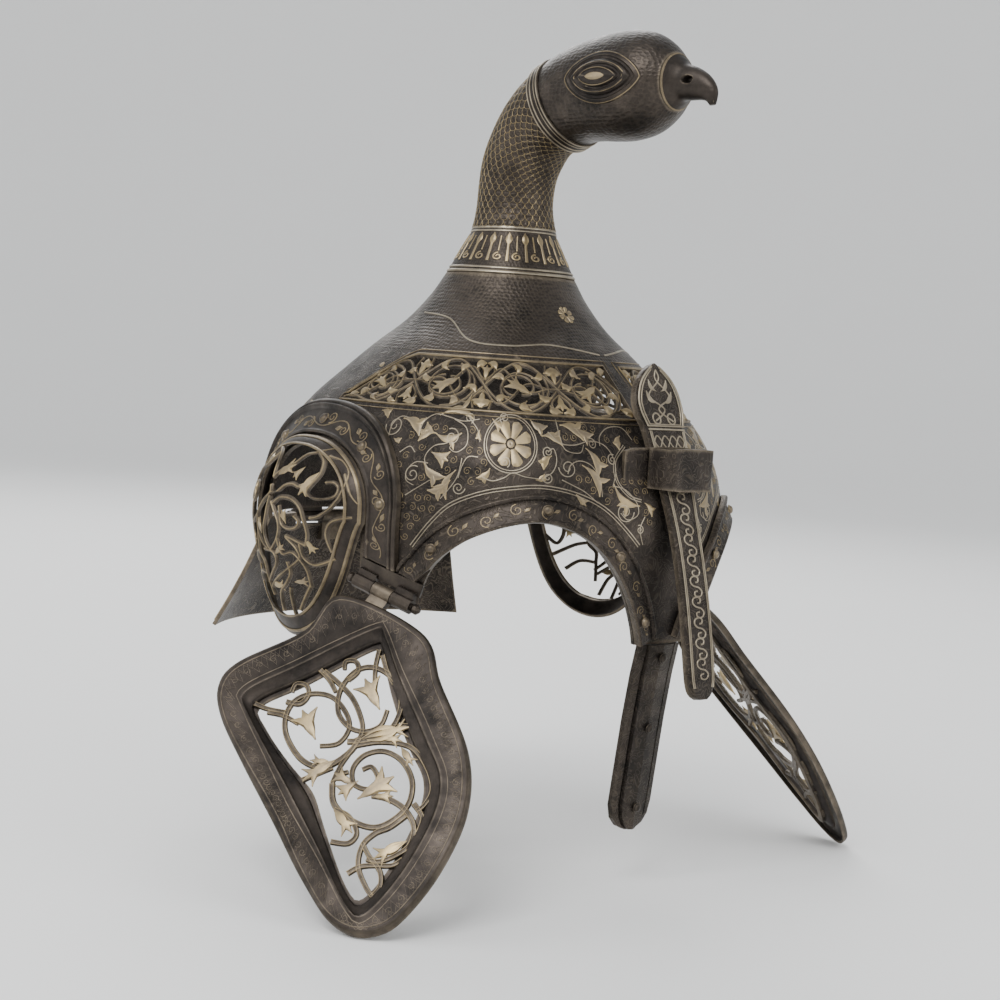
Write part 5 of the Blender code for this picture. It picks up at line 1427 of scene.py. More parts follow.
class HELMET_OT_inlay(HelmetOperator, bpy.types.Operator):
    """Add the inlaid brass leaves and silver lines on the bowl"""
    bl_idname = "helmet.inlay"
    bl_label = "Inlay"

    def build(self):
        wire, rise = sizes().silver_wire, sizes().leaf_rise
        k = BOWL_STRETCH
        leaves = []
        for i, (a, b, c, d, w) in enumerate(FLORAL_LEAVES):
            leaves += split_leaf((a * k, b), (c * k, d), 0.85 * w, 0.2 * (1 if i % 2 else -1))
        for a, b, c, d, w in FLORAL_FANS:
            leaves += tulip((a * k, b), (c * k, d), w)
        centre = np.array((ROSETTE[0] * k, ROSETTE[1]))
        leaves += rosette(centre, 10.4, 8, 6.1)
        leaves.append(ring(centre, 0.9, 0.9, 12))
        lines = [vine(pairs(points, k), wire, wire * 0.7) for points in FLORAL_VINES]
        for i, (a, b, reach) in enumerate(FLORAL_COILS):
            lines.append(coil((a * k, b), reach, 60 * i, 1.6 * (1 if i % 2 else -1), wire, wire * 0.8, 0.15))
        lines += [ring(centre, 11.5, wire * 0.8, 48), ring(centre, 12.6, wire, 48)]
        for points, gap in ((EYE_BORDER, 1.3), (FOOT_BORDER, 1.0), (EAR_BORDER, 1.2)):
            outer = smooth_line(pairs(points, k), 8)
            ahead = np.gradient(outer, axis=0)
            normal = np.stack((-ahead[:, 1], ahead[:, 0]), -1) / np.linalg.norm(ahead, axis=1, keepdims=True)
            lines += [(outer, wire, False), (outer + normal * gap, wire * 0.8, False)]
        border = np.array(sorted(EYE_BORDER))
        spots = []
        for row in range(14):
            for column in range(29):
                x, y = 16 + 4.6 * (column + 0.5 * (row % 2)), -16 + 4.4 * row
                floor_level = np.interp(x / k, border[:, 0], border[:, 1]) + 3.5
                if floor_level < y < 44 and x < 72 * k and math.hypot(x - centre[0], y - centre[1]) > 14.6:
                    spots.append((x, y))
        curling = filling_curls(leaves + lines, np.array(spots), 2.2, 1.9, 0.13)
        flip = 202 * k
        rear = [[((flip, 0) + np.asarray(line)[:, :2] * (-1, 1), radius, closed)
                 for line, radius, closed in group if np.asarray(line)[:, 0].min() > 25 * k and not closed]
                for group in (leaves, lines[:len(FLORAL_VINES) + len(FLORAL_COILS)])]
        spots = [(127 * k + 4.6 * (column + 0.5 * (row % 2)), -11 + 4.4 * row)
                 for row in range(13) for column in range(22)]
        curling += filling_curls(rear[0] + rear[1], np.array(spots), 2.2, 1.9, 0.13)
        leaves += rear[0]
        lines += rear[1]
        for side, name in SIDES:
            place = bowl_area(side, k, 0.0, 1.0)
            lay("line", "helmet", f"bowl_curls_{name}", curling, place, 0.14, roundness=1)
            lay("inlay", "helmet", f"bowl_leaves_{name}", leaves, place, rise)
            lay("silver", "helmet", f"bowl_lines_{name}", lines, place, 0.22)
            wave = [vine(pairs(CROWN_WAVE, 1.1), 0.32, 0.32, 10)]
            lay("silver", "helmet", f"crown_wave_{name}", wave, bowl_area(side, 1.1, 0.0, 1.0), 0.2)
        centre = np.array((CROWN_ROSETTE[0] * 0.9, 0.0))
        blossom = rosette(centre, 5.4, 8, 3.3)
        place = bowl_area(1, 0.9, CROWN_ROSETTE[1] * MM, 1.4)
        lay("inlay", "helmet", "crown_rosette", blossom, place, 0.25)


# ---------------------------------------------------------------- rims and frames

def section_rings(point, side, section, first, second, count):
    """Rings of a rim whose section rows are (across, share of first, share of second)."""
    line = np.array(section, float)
    along = np.linspace(0, 1, count)
    rings = []
    for share in along:
        stand = line[:, 1] * first + line[:, 2] * second
        rings.append(point(side, np.full(len(line), share), line[:, 0], stand))
    return np.array(rings)


def eased(section):
    """Section with its upper corners rounded and its flat foot kept."""
    upper = rounded(section[:-1], 0.22, 2)
    return [tuple(row) for row in upper] + [section[-1]]


class HELMET_OT_brows(HelmetOperator, bpy.types.Operator):
    """Add the rims over the eye openings"""
    bl_idname = "helmet.brows"
    bl_label = "Brow rims"

    def build(self):
        stretch = strip_length(brow_strip()) / MM
        curling = []
        for i in range(13):
            x = (0.06 + 0.072 * i) * stretch
            curling.append(coil((x, 5.4 + 0.8 * (-1) ** i), 2.6, 90 * (-1) ** i, 1.3 * (-1) ** i, 0.22, 0.16, 0.2, 14))
            curling.append(leaf((x + 2.4, 5), (x + 5.0, 6.6), 1.5))
        for side, name in SIDES:
            rings = section_rings(brow_point, side, eased(BROW_SECTION), BROW_THICKNESS, BROW_FLARE, 110)
            rim = add_loft(f"brow_rim_shell_{name}", rings)
            finish_piece(rim, "curled", "helmet", (f"brow_rim_{name}",))

            def place(x, y, z):
                across = y / BROW_WIDTH
                stand = section_stand(BROW_SECTION, BROW_THICKNESS, BROW_FLARE, across)
                return brow_point(side, x / (stretch * MM), across, stand + z)
            lay("line", "helmet", f"brow_curls_{name}", curling, place, 0.22)


class HELMET_OT_ear_frames(HelmetOperator, bpy.types.Operator):
    """Add the frames round the ear openings"""
    bl_idname = "helmet.ear_frames"
    bl_label = "Ear frames"

    def build(self):
        stretch = strip_length(ear_strip()) / MM
        width = EAR_BAND / MM
        share = np.linspace(0.02, 0.98, 160)
        wave = np.stack((share * stretch, (0.36 + 0.14 * np.sin(share * 2 * math.pi * 7)) * width), -1)
        vines = [(wave, 0.26, False)]
        for i in range(14):
            x = (0.055 + i / 15.2) * stretch
            turn = (-1) ** i
            vines.append(coil((x, (0.39 - 0.10 * turn) * width), 2.7, 90 * turn, 1.4 * turn, 0.26, 0.2, 0.2, 14))
            vines.append(leaf((x + 2.0, (0.39 - 0.05 * turn) * width), (x + 5.4, (0.39 - 0.16 * turn) * width), 2.2))
        for side, name in SIDES:
            rings = section_rings(frame_point, side, eased(EAR_SECTION), EAR_PLATE, EAR_BEAD, 150)
            piece = add_loft(f"ear_frame_shell_{name}", rings)
            finish_piece(piece, "plain", "helmet", (f"ear_frame_{name}",))

            def place(x, y, z):
                across = y / EAR_BAND
                stand = section_stand(EAR_SECTION, EAR_PLATE, EAR_BEAD, across)
                return frame_point(side, x / (stretch * MM), across, stand + z)
            lay("line", "helmet", f"ear_frame_vines_{name}", vines, place, 0.3)


def add_dome(name, radius, height):
    """Domed head of a rivet, standing on the XY plane, with a thin collar."""
    profile = ((1.0, -0.3), (1.0, 0.10), (0.92, 0.16), (0.86, 0.20), (0.80, 0.42), (0.66, 0.70), (0.44, 0.90),
               (0.2, 0.985), (0.0, 1.0))
    radii = [row[0] * radius for row in profile]
    rises = [row[1] * height for row in profile]

    def place(u, v, stand):
        share = v * (len(profile) - 1)
        reach = np.interp(share, range(len(profile)), radii)
        rise = np.interp(share, range(len(profile)), rises)
        angle = 2 * math.pi * u
        return np.stack((reach * np.cos(angle), reach * np.sin(angle), rise + stand), -1)
    return add_skin(name, place, 18, len(profile) - 1, (0.01, 0.004), closed=True)


def add_rivets(name, places, finish, slot, nodes, radius, height):
    """One piece of domed rivets at (spot, direction) places."""
    first = add_dome(name, radius, height)
    copies = []
    for spot, ahead in places:
        matrix = Vector(ahead).to_track_quat("Z", "Y").to_matrix().to_4x4()
        matrix.translation = Vector(spot)
        copy = first.copy()
        copy.data = first.data.copy()
        copy.data.transform(matrix)
        bpy.context.collection.objects.link(copy)
        copies.append(copy)
    bpy.data.objects.remove(first)
    choose(*copies)
    bpy.ops.object.join()
    piece = bpy.context.object
    piece.name = piece.data.name = name
    finish_piece(piece, finish, "helmet", nodes, 60)


def on_bowl(angle, level, stand):
    """Spot of a rivet on the bowl, and the direction it faces."""
    return bowl_point(angle, level, stand), bowl_normal(np.asarray(float(angle)), level)


class HELMET_OT_rivets(HelmetOperator, bpy.types.Operator):
    """Add the domed rivets of the brow rims and ear frames"""
    bl_idname = "helmet.rivets"
    bl_label = "Rivets"

    def build(self):
        radius, height = sizes().rivet_radius * MM, sizes().rivet_height * MM
        for side, name in SIDES:
            spots = []
            line, far = brow_strip()
            row = line + (far - line) * BROW_RIVET_ROW
            for share in BROW_RIVETS:
                at = share * (len(line) - 1)
                u, v = (np.interp(at, np.arange(len(line)), row[:, i]) for i in (0, 1))
                spots.append(on_bowl(side * wall_angle(EYE_CENTRE, u, v), v, BROW_THICKNESS + BROW_RIVET_STAND))
            nodes = [f"brow_rivet_{name}_{i + 1}" for i in range(len(BROW_RIVETS))]
            add_rivets(f"brow_rivets_{name}", spots, "line", "rivet_brass", nodes, radius * 0.92, height)
            spots = []
            for turn in EAR_RIVETS:
                turn = math.radians(turn)
                u = -(EAR_INNER_HALF + EAR_RIVET_ROW * EAR_BAND) * math.cos(turn)
                v = -EAR_SPRING + (EAR_INNER_RISE + EAR_RIVET_ROW * EAR_BAND) * math.sin(turn)
                spots.append(on_bowl(side * wall_angle(EAR_CENTRE, u, v), v, EAR_PLATE + SEAT))
            nodes = [f"ear_rivet_{name}_{i + 1}" for i in range(len(EAR_RIVETS))]
            add_rivets(f"ear_rivets_{name}", spots, "line", "rivet_brass", nodes, radius * 1.05, height)


class HELMET_OT_nasal_rivets(HelmetOperator, bpy.types.Operator):
    """Add the three rivets of the fixed nasal"""
    bl_idname = "helmet.nasal_rivets"
    bl_label = "Nasal rivets"

    def build(self):
        rows = smooth_line(NASAL_ROWS, 6)
        front = float(bowl_skin(0.0, -SKIRT_DEPTH)[1]) - NASAL_PROUD
        places = []
        for along in NASAL_RIVETS:
            level = -SKIRT_DEPTH - 0.3 * MM - along * NASAL_LENGTH
            back = np.interp(along, rows[:, 0], rows[:, 1])
            places.append(((0, front + back * NASAL_SET_BACK - 0.9 * MM, level), NASAL_RIVET_FACING))
        add_rivets("nasal_rivets", places, "plain", "nasal_brass", (), *NASAL_RIVET_SIZE)


class HELMET_OT_bosses(HelmetOperator, bpy.types.Operator):
    """Add the chased bosses in the ear openings"""
    bl_idname = "helmet.bosses"
    bl_label = "Ear bosses"

    def build(self):
        stem = sizes().boss_stem / 2
        strokes = [vine(points, stem, stem * 0.8) for points in BOSS_STEMS]
        foliage = []
        for a, b, c, d, w in BOSS_TULIPS:
            foliage += tulip((a, b), (c, d), w)
        wires = [(line, radius * 0.28, closed) for line, radius, closed in strokes]
        turn = np.linspace(0, 2 * math.pi, 120, endpoint=False)
        edge = np.stack(boss_edge(turn), -1) / MM
        beads = [(edge * BOSS_RIM, 0.55, True), (edge * 0.96, 0.7, True)]
        for side, name in SIDES:
            def place(u, v, stand):
                edge_u, edge_v = boss_edge(2 * math.pi * u)
                share = 1 - (1 - BOSS_RIM) * v
                x, y = edge_u * share, edge_v * share
                step = 0.9 * MM * np.sin(math.pi * np.clip(v, 0, 1)) ** 0.5
                return boss_point(side, x, y, SEAT + BOSS_WALL * 0.6 + boss_stand(x, y) + step + stand)
            shell = add_skin(f"ear_boss_shell_{name}", place, 180, 12, (0.26, 0.045), BOSS_WALL, closed=True)
            finish_piece(shell, "plain", "helmet", (f"ear_boss_{name}",))
            area = boss_area(side)
            lay("plain", "helmet", f"ear_boss_scrolls_{name}", strokes, area, 1.1, -0.5)
            lay("line", "helmet", f"ear_boss_wires_{name}", wires, area, 0.4, 0.25, roundness=1)
            lay("inlay", "helmet", f"ear_boss_leaves_{name}", foliage, area, 0.8, -0.2)
            lay("line", "helmet", f"ear_boss_beads_{name}", beads, area, 0.6, 0.3)


# ---------------------------------------------------------------- bird

def scale_relief(around, along):
    """Height of overlapping scales whose round ends point down the neck."""
    row = (along - SCALES_START) / SCALE_ROW
    top = np.floor(row)
    across = 2 * np.abs((around * SCALES_AROUND + 0.5 * (top % 2)) % 1 - 0.5)
    down = top + 1 - row
    own = np.clip((np.sqrt(1 - across ** 2 * 0.98) - down) / 0.14 + 0.5, 0, 1)
    height = own * (1 + down) / 2 + (1 - own) * down / 2
    return SCALE_DEPTH * height * np.clip(row * 2, 0, 1)


# Share of the neck's rows below the scales, the raised ring there, and the radii that flat lines are laid out for
PLAIN_ROWS = 0.13
NECK_RING = 21.5 * MM
NECK_DRAWN_RADIUS = 20.5 * MM
BEAK_RADIUS = 10.5 * MM


class HELMET_OT_neck(HelmetOperator, bpy.types.Operator):
    """Add the bird's scaled neck with its spears and rings"""
    bl_idname = "helmet.neck"
    bl_label = "Neck"

    def build(self):
        total = NECK[0][-1]

        def place(u, v, stand):
            along = np.interp(v, (0, PLAIN_ROWS, 1), (0, SCALES_START, total))
            lower = 0.5 * MM * np.exp(-((along - NECK_RING) / (0.9 * MM)) ** 2)
            return tube_point(NECK, along, 360 * u, scale_relief(u, along) + lower + stand)
        neck = add_skin("neck_shell", place, 210, 210, (0.115, total), NECK_WALL, closed=True)
        finish_piece(neck, "neck", "helmet", ("bird_neck",), 50)
        girth = 2 * math.pi * NECK_DRAWN_RADIUS / MM
        area = tube_area(NECK, NECK_DRAWN_RADIUS)
        arcs = []
        pitch = girth / SCALES_AROUND
        for row in range(int((total - SCALES_START) / SCALE_ROW) - 1):
            for i in range(SCALES_AROUND):
                x = (i + 0.5 * (row % 2)) * pitch
                y = (SCALES_START + (row + 1) * SCALE_ROW) / MM
                angle = np.linspace(math.pi, 2 * math.pi, 7)
                drop = SCALE_ROW / MM * 1.04
                arcs.append((np.stack((x + 0.5 * pitch * np.cos(angle), y + drop * np.sin(angle)), -1), 0.13, False))

        def over_scales(x, y, z):
            return area(x, y, z + 0.8 * SCALE_DEPTH)
        lay("line", "helmet", "neck_scale_lines", arcs, over_scales, 0.2, 0.05, roundness=0)
        spears, curls_below = [], []
        for i in range(18):
            x = girth * i / 18
            spears.append(vine(((x, 6), (x, 14.5)), 0.55, 0.5))
            spears.append(leaf((x, 13.0), (x, 19.6), 3.0))
            spears.append(coil((x + girth / 36, 8.2), 1.9, 90, 1.3, 0.42, 0.3, 0.25, 14))
            curls_below.append(vine(((x + girth / 36, 11), (x + girth / 36, 18)), 0.3, 0.3))
        lay("inlay", "helmet", "neck_spears", spears + curls_below, area, 0.35, 0.05)
        turn = np.linspace(0, girth, 90, endpoint=False)
        rings = [hoop(turn, level, wire)
                 for level, wire in ((0.9, 0.7), (2.8, 0.5), (20.6, 0.45), (22.2, 0.6), (61.0, 0.35))]
        lay("silver", "helmet", "neck_rings", rings, area, 0.5, 0.1)


# Eye, from its edge to its middle: reach as a share of its size, and rise as a share of EYE_RAISE
EYE_ROWS = (
    (1.0, -0.15), (1.0, 0.10), (0.965, 0.30), (0.90, 0.36), (0.86, 0.16), (0.80, 0.10), (0.775, 0.42), (0.72, 0.62),
    (0.66, 0.58), (0.62, 0.40), (0.56, 0.38), (0.52, 0.72), (0.36, 0.95), (0.18, 1.02), (0.0, 1.0),
)


class HELMET_OT_head(HelmetOperator, bpy.types.Operator):
    """Add the bird's head, beak, collar and eyes"""
    bl_idname = "helmet.head"
    bl_label = "Head"

    def build(self):
        total = HEAD[0][-1]

        def place(u, v, stand):
            return tube_point(HEAD, v * total, 360 * u, stand)
        head = add_skin("head_shell", place, 120, 90, (0.14, total), HEAD_WALL, closed=True)
        finish_piece(head, "head", "helmet", ("bird_head",), 50)
        self.add_beak()
        self.add_collar()
        for side, name in SIDES:
            self.add_eye(side, name)

    def add_beak(self):
        total = BEAK[0][-1]
        front, foot, _, height, _ = beak_rows()[0]

        def place(u, v, stand):
            spot = tube_point(BEAK, v * total, 360 * u, stand)
            x = (front - spot[..., 1]) / BEAK_LENGTH
            z = (spot[..., 2] - foot) / height
            inside = ((x - NOSTRIL_PLACE[0]) * BEAK_LENGTH / (NOSTRIL_LENGTH / 2)) ** 2 \
                + ((z - NOSTRIL_PLACE[1] - 0.1) * height / (NOSTRIL_HEIGHT / 2)) ** 2
            spot[..., 0] *= 1 - 0.62 * np.clip(1.5 - 1.4 * inside, 0, 1)
            seam = np.exp(-((z + 0.22 + 0.10 * x) / 0.05) ** 2) * np.clip((x - 0.12) * 8, 0, 1)
            spot[..., 0] *= 1 - 0.03 * seam
            return spot
        piece, u, v = plain_grid("beak_shell", 96, 90)
        scale_uv(piece, 0.08, total)
        write_spots(piece, place(u, v, 0 * u))
        edit(piece, merge_doubles, close_holes, face_out)
        finish_piece(piece, "plain", "helmet", ("beak",), 60)
        turn = np.linspace(0, 2 * math.pi * BEAK_RADIUS / MM, 80, endpoint=False)
        rings = [hoop(turn, 0.5, 0.26)]
        lay("line", "helmet", "beak_rings", rings, tube_area(BEAK, BEAK_RADIUS), 0.5)

    def add_collar(self):
        front, foot, width, height, lean = head_rows()[0]
        lean = math.radians(lean)
        turn = np.radians(np.linspace(0, 360, 97)[:-1])

        def spot(t, along, stand):
            grow = NECK_GAP + 0.2 * COLLAR_SLACK + stand
            over = (height + grow) * np.sin(t)
            return np.stack(((width + grow) * np.cos(t), front + over * math.sin(lean) - along * math.cos(lean),
                             foot + over * math.cos(lean) + along * math.sin(lean)), -1)

        def around(x, y, z):
            return spot(np.radians(x / MM), y, 0.34 * COLLAR_THICKNESS + z)
        section = np.array(rounded(COLLAR_SECTION, 0.3, 2))
        rings = [spot(t, section[:, 0] * COLLAR_WIDTH, 0.40 * COLLAR_THICKNESS * section[:, 1]) for t in turn]
        piece = add_loft("collar_shell", rings + rings[:1], capped=False)
        edit(piece, merge_doubles, face_out)
        finish_piece(piece, "plain", "helmet", ("neck_collar",), 50)
        lines = [hoop(np.degrees(turn), share * COLLAR_WIDTH / MM, wire)
                 for share, wire in ((-0.46, 0.32), (-0.18, 0.36), (0.16, 0.22), (0.40, 0.34))]
        lay("silver", "helmet", "collar_lines", lines, around, 0.35)

    def add_eye(self, side, name):
        area = eye_area(side)
        steps = range(len(EYE_ROWS))
        reach = [row[0] for row in EYE_ROWS]
        rise = [row[1] * EYE_RAISE for row in EYE_ROWS]

        def spot(angle, share):
            c, s = np.cos(angle), np.sin(angle)
            shrink = np.sign(s) * np.abs(s) ** (1 + EYE_POINTING)
            return 0.5 * EYE_LENGTH * share * c, 0.5 * EYE_HEIGHT * share * (0.35 + 0.65 * share) * shrink

        def place(u, v, stand):
            at = v * steps[-1]
            x, y = spot(2 * math.pi * u, np.interp(at, steps, reach))
            return area(x, y, np.interp(at, steps, rise) + stand)
        eye = add_skin(f"eye_shell_{name}", place, 96, 56, (0.10, 0.02), closed=True)
        edit(eye, close_holes, face_out)
        finish_piece(eye, "plain", "helmet", (f"eye_{name}",), 50)
        turn = np.linspace(0, 2 * math.pi, 80, endpoint=False)
        lines = [(np.stack(spot(turn, share), -1) / MM, wire, True)
                 for share, wire in ((0.985, 0.2), (0.72, 0.24), (0.66, 0.16), (0.50, 0.2))]

        def raised(x, y, z):
            share = np.hypot(x / (0.5 * EYE_LENGTH), y / (0.42 * EYE_HEIGHT))
            rise = np.interp(share, (0.42, 0.52, 0.60, 0.68, 0.8, 0.96), (0.84, 0.64, 0.42, 0.60, 0.30, 0.30))
            return area(x, y, rise * EYE_RAISE + z)
        lay("line", "helmet", f"eye_lines_{name}", lines, raised, 0.3)

        def middle(u, v, stand):
            share = 0.43 * (1 - v)
            x, y = spot(2 * math.pi * u, share)
            return area(x, y, (1.04 - 0.22 * (share / 0.43) ** 3) * EYE_RAISE + stand)
        piece = add_skin(f"eye_middle_{name}", middle, 64, 14, (0.04, 0.01), 0.5 * MM, closed=True)
        finish_piece(piece, "inlay", "helmet")


# ---------------------------------------------------------------- nasal bar

def bar_half(share):
    rows = [(s, w * FINIAL_WIDTH / 2) for s, w in FINIAL_ROWS] + [(s, w * BAR_WIDTH / 2) for s, w in SHANK_ROWS]
    line = smooth_line(rows, 5)
    return np.interp(share, line[:, 0], line[:, 1])


class HELMET_OT_bar(HelmetOperator, bpy.types.Operator):
    """Add the sliding nasal bar with its leaf head and inlaid wires"""
    bl_idname = "helmet.bar"
    bl_label = "Nasal bar"

    def build(self):
        rows = [s for s, _ in FINIAL_ROWS] + [s for s, _ in SHANK_ROWS]
        shares = np.unique(np.concatenate((np.linspace(0, 1, 110), rows)))
        section = rounded(BAR_SECTION, 0.2, 2)
        rings = []
        for share in shares:
            half = float(bar_half(share))
            spot, back = bar_spot(np.asarray(share)), bar_back(np.asarray(share))
            rings.append([spot + back * BAR_THICKNESS * max(depth, 0) + np.array((across * half, 0, 0))
                          for across, depth in section])
        bar = add_loft("bar_shell", np.array(rings))
        finish_piece(bar, "curled", "bar", ("nasal_bar",))
        total = math.hypot(BAR_LENGTH, BAR_LEAN) / MM

        def outline(offset, low, high, count):
            share = np.linspace(low, high, count)
            half = bar_half(share) / MM - offset
            keep = half > 0.4
            share, half = share[keep], half[keep]
            return np.concatenate((np.stack((-half, share * total), -1), np.stack((half, share * total), -1)[::-1]))
        lines = [(outline(1.3, 0.01, 0.19, 30), 0.5, False), (outline(3.0, 0.02, 0.185, 26), 0.32, False)]
        for low, high in ((0.205, 0.268), (0.31, 0.965)):
            share = np.linspace(low, high, 60)
            half = bar_half(share) / MM
            for offset, wire in ((1.5, 0.34), (2.5, 0.24)):
                for side in (1, -1):
                    lines.append((np.stack((side * (half - offset), share * total), -1), wire, False))
        for share in (0.2, 0.272, 0.304):
            half = float(bar_half(share)) / MM - 1
            lines.append(((((-half, share * total), (half, share * total))), 0.45, False))
        x = np.linspace(-10.5, 10.5, 50)
        for way in (1, -1):
            lines.append((np.stack((x, 0.237 * total + way * 2.7 * np.sin(x * math.pi / 5.2)), -1), 0.36, False))
        middle = 0.10 * total
        for side in (1, -1):
            lines.append(vine(((side * 6, 0.175 * total), (side * -2, 0.14 * total), (side * 7, middle),
                               (side * -1, 0.05 * total), (0, 0.02 * total)), 0.45, 0.3))
            lines.append(ring((side * 5.0, 0.168 * total), 2.5, 0.4, 20))
            lines.append(leaf((side * 2, 0.12 * total), (side * 8.5, 0.085 * total), 2.6, 0.2 * side))
            lines.append(leaf((side * 1.5, 0.085 * total), (side * 6, 0.05 * total), 2.2, 0.2 * side))
        for y in np.arange(0.325 * total, 0.955 * total - BAR_WAVE_STEP, BAR_WAVE_STEP):
            lines.append(vine([(across, y + down) for across, down in BAR_WAVE], 0.42, 0.36, 4))
        lay("silver", "bar", "bar_wires", lines, bar_area, 0.3, 0.0)


# ---------------------------------------------------------------- hinge links

def add_link(name, point, axis, down, outward, length, low, high):
    """Middle knuckle of a hinge with the link down to its guard, bored for the pin."""
    half = length / 6 - LINK_GAP
    for radius, reach in ((KNUCKLE_RADIUS, half), (PIN_BORE, length)):
        bpy.ops.mesh.primitive_cylinder_add(vertices=32, radius=radius, depth=2 * reach, rotation=(0, math.pi / 2, 0))
        apply_place(bpy.context.object)
        if reach == half:
            barrel = bpy.context.object
    bore = bpy.context.object
    across = half - 2 * LINK_GAP
    link = box_cutter("link", (-across, low, -LINK_REACH), (across, high, -2 * LINK_GAP))
    join = barrel.modifiers.new("Join", "BOOLEAN")
    join.operation, join.solver, join.object = "UNION", "EXACT", link
    apply_all(barrel)
    bpy.data.objects.remove(link)
    cut(barrel, [bore])
    barrel.name = barrel.data.name = name
    columns = [Vector(axis), Vector(outward), -Vector(down), Vector(point)]
    barrel.data.transform(Matrix([[column[i] for column in columns] for i in range(3)] + [[0, 0, 0, 1]]))
    edit(barrel, merge_doubles, face_out)
    return barrel


def apply_place(piece):
    choose(piece)
    bpy.ops.object.transform_apply(location=True, rotation=True, scale=True)


# ---------------------------------------------------------------- cheek guards

def guard_edges(count):
    """Outer edge and panel edge of a cheek guard along spokes from its centre, in metres."""
    centre = np.array(GUARD_CENTRE) * GUARD_SIZE
    turn = np.linspace(-math.pi, math.pi, count, endpoint=False)
    edges = []
    for outline, steps in ((GUARD_OUTLINE, 10), (PANEL_OUTLINE, 10)):
        line = smooth_line(np.array(outline) * GUARD_SIZE, steps, closed=True) - centre
        angle, reach = np.arctan2(line[:, 1], line[:, 0]), np.hypot(line[:, 0], line[:, 1])
        order = np.argsort(angle)
        edges.append(np.interp(turn, angle[order], reach[order], period=2 * math.pi))
    edges[0] = edges[0] - GUARD_TIP_TRIM * np.exp(-((turn - GUARD_TIP_TURN) / 0.4) ** 2) - 0.3 * MM
    return centre, turn, edges[0], edges[1]


def guard_loop(offset, rise, from_panel=True, count=GUARD_SPOKES):
    """Closed loop inside a guard's panel edge, or inside its outer edge, by offset millimetres."""
    centre, turn, outer, panel = guard_edges(count)
    reach = (panel if from_panel else outer) - offset * MM
    return np.stack((centre[0] + reach * np.cos(turn), centre[1] + reach * np.sin(turn), np.full(count, rise * MM)), -1)


class HELMET_OT_bracket(HelmetOperator, bpy.types.Operator):
    """Add the bracket that the nasal bar slides in: a box in front and two wings on the bowl"""
    bl_idname = "helmet.bracket"
    bl_label = "Bracket"

    def build(self):
        low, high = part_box("nasal_bracket")
        middle, tall = (low[2] + high[2]) / 2, high[2] - low[2] - 0.4 * MM
        reach, front = high[0], low[1] + 0.2 * MM
        half = BRACKET_BOX_HALF
        wing = []
        for angle in (-15.6, -13, -10.5, -8.2):
            spot = bowl_point(angle, middle, BRACKET_WALL + 0.3 * MM)
            wing.append((float(spot[0]), float(spot[1])))
        side = wing + [(-half - 0.6 * MM, wing[-1][1] - 1.0 * MM), (-half, wing[-1][1] - 3.0 * MM),
                       (-half, front + 1.6 * MM), (-half + 1.6 * MM, front)]
        line = np.array(rounded(side + [(-x, y) for x, y in side[::-1]], 0.25, 2))
        heights = np.interp(np.abs(line[:, 0]) / reach, (0.30, 0.45, 0.75, 0.9, 1.0), (1.0, 0.94, 0.90, 0.74, 0.4))

        def place(u, v, stand):
            at = u * (len(line) - 1)
            x, y, share = (np.interp(at, range(len(line)), column) for column in (line[:, 0], line[:, 1], heights))
            return np.stack((x, y, middle + (0.5 - v) * tall * share), -1)
        piece, u, v = plain_grid("bracket_shell", 110, 14)
        scale_uv(piece, 0.07, 0.02)
        write_spots(piece, place(u, v, 0 * u))
        mesh = piece.data
        if sum(polygon.normal.y * polygon.area for polygon in mesh.polygons) > 0:
            edit(piece, turn_over)
        thicken(piece, BRACKET_WALL)
        finish_piece(piece, "curled", "helmet", ("nasal_bracket",), 40)
        lines = []
        for x in (-3.4, 3.4):
            lines.append(coil((x, 0), 3.0, 90, 1.2 * np.sign(x), 0.3, 0.22, 0.25, 16))
        for y in (-6.6, 6.6):
            lines.append((((-8, y), (8, y)), 0.3, False))

        def face(x, y, z):
            return np.stack((x, front - z + 0 * x, middle - y), -1)
        lay("line", "helmet", "bracket_lines", lines, face, 0.3, 0.0)


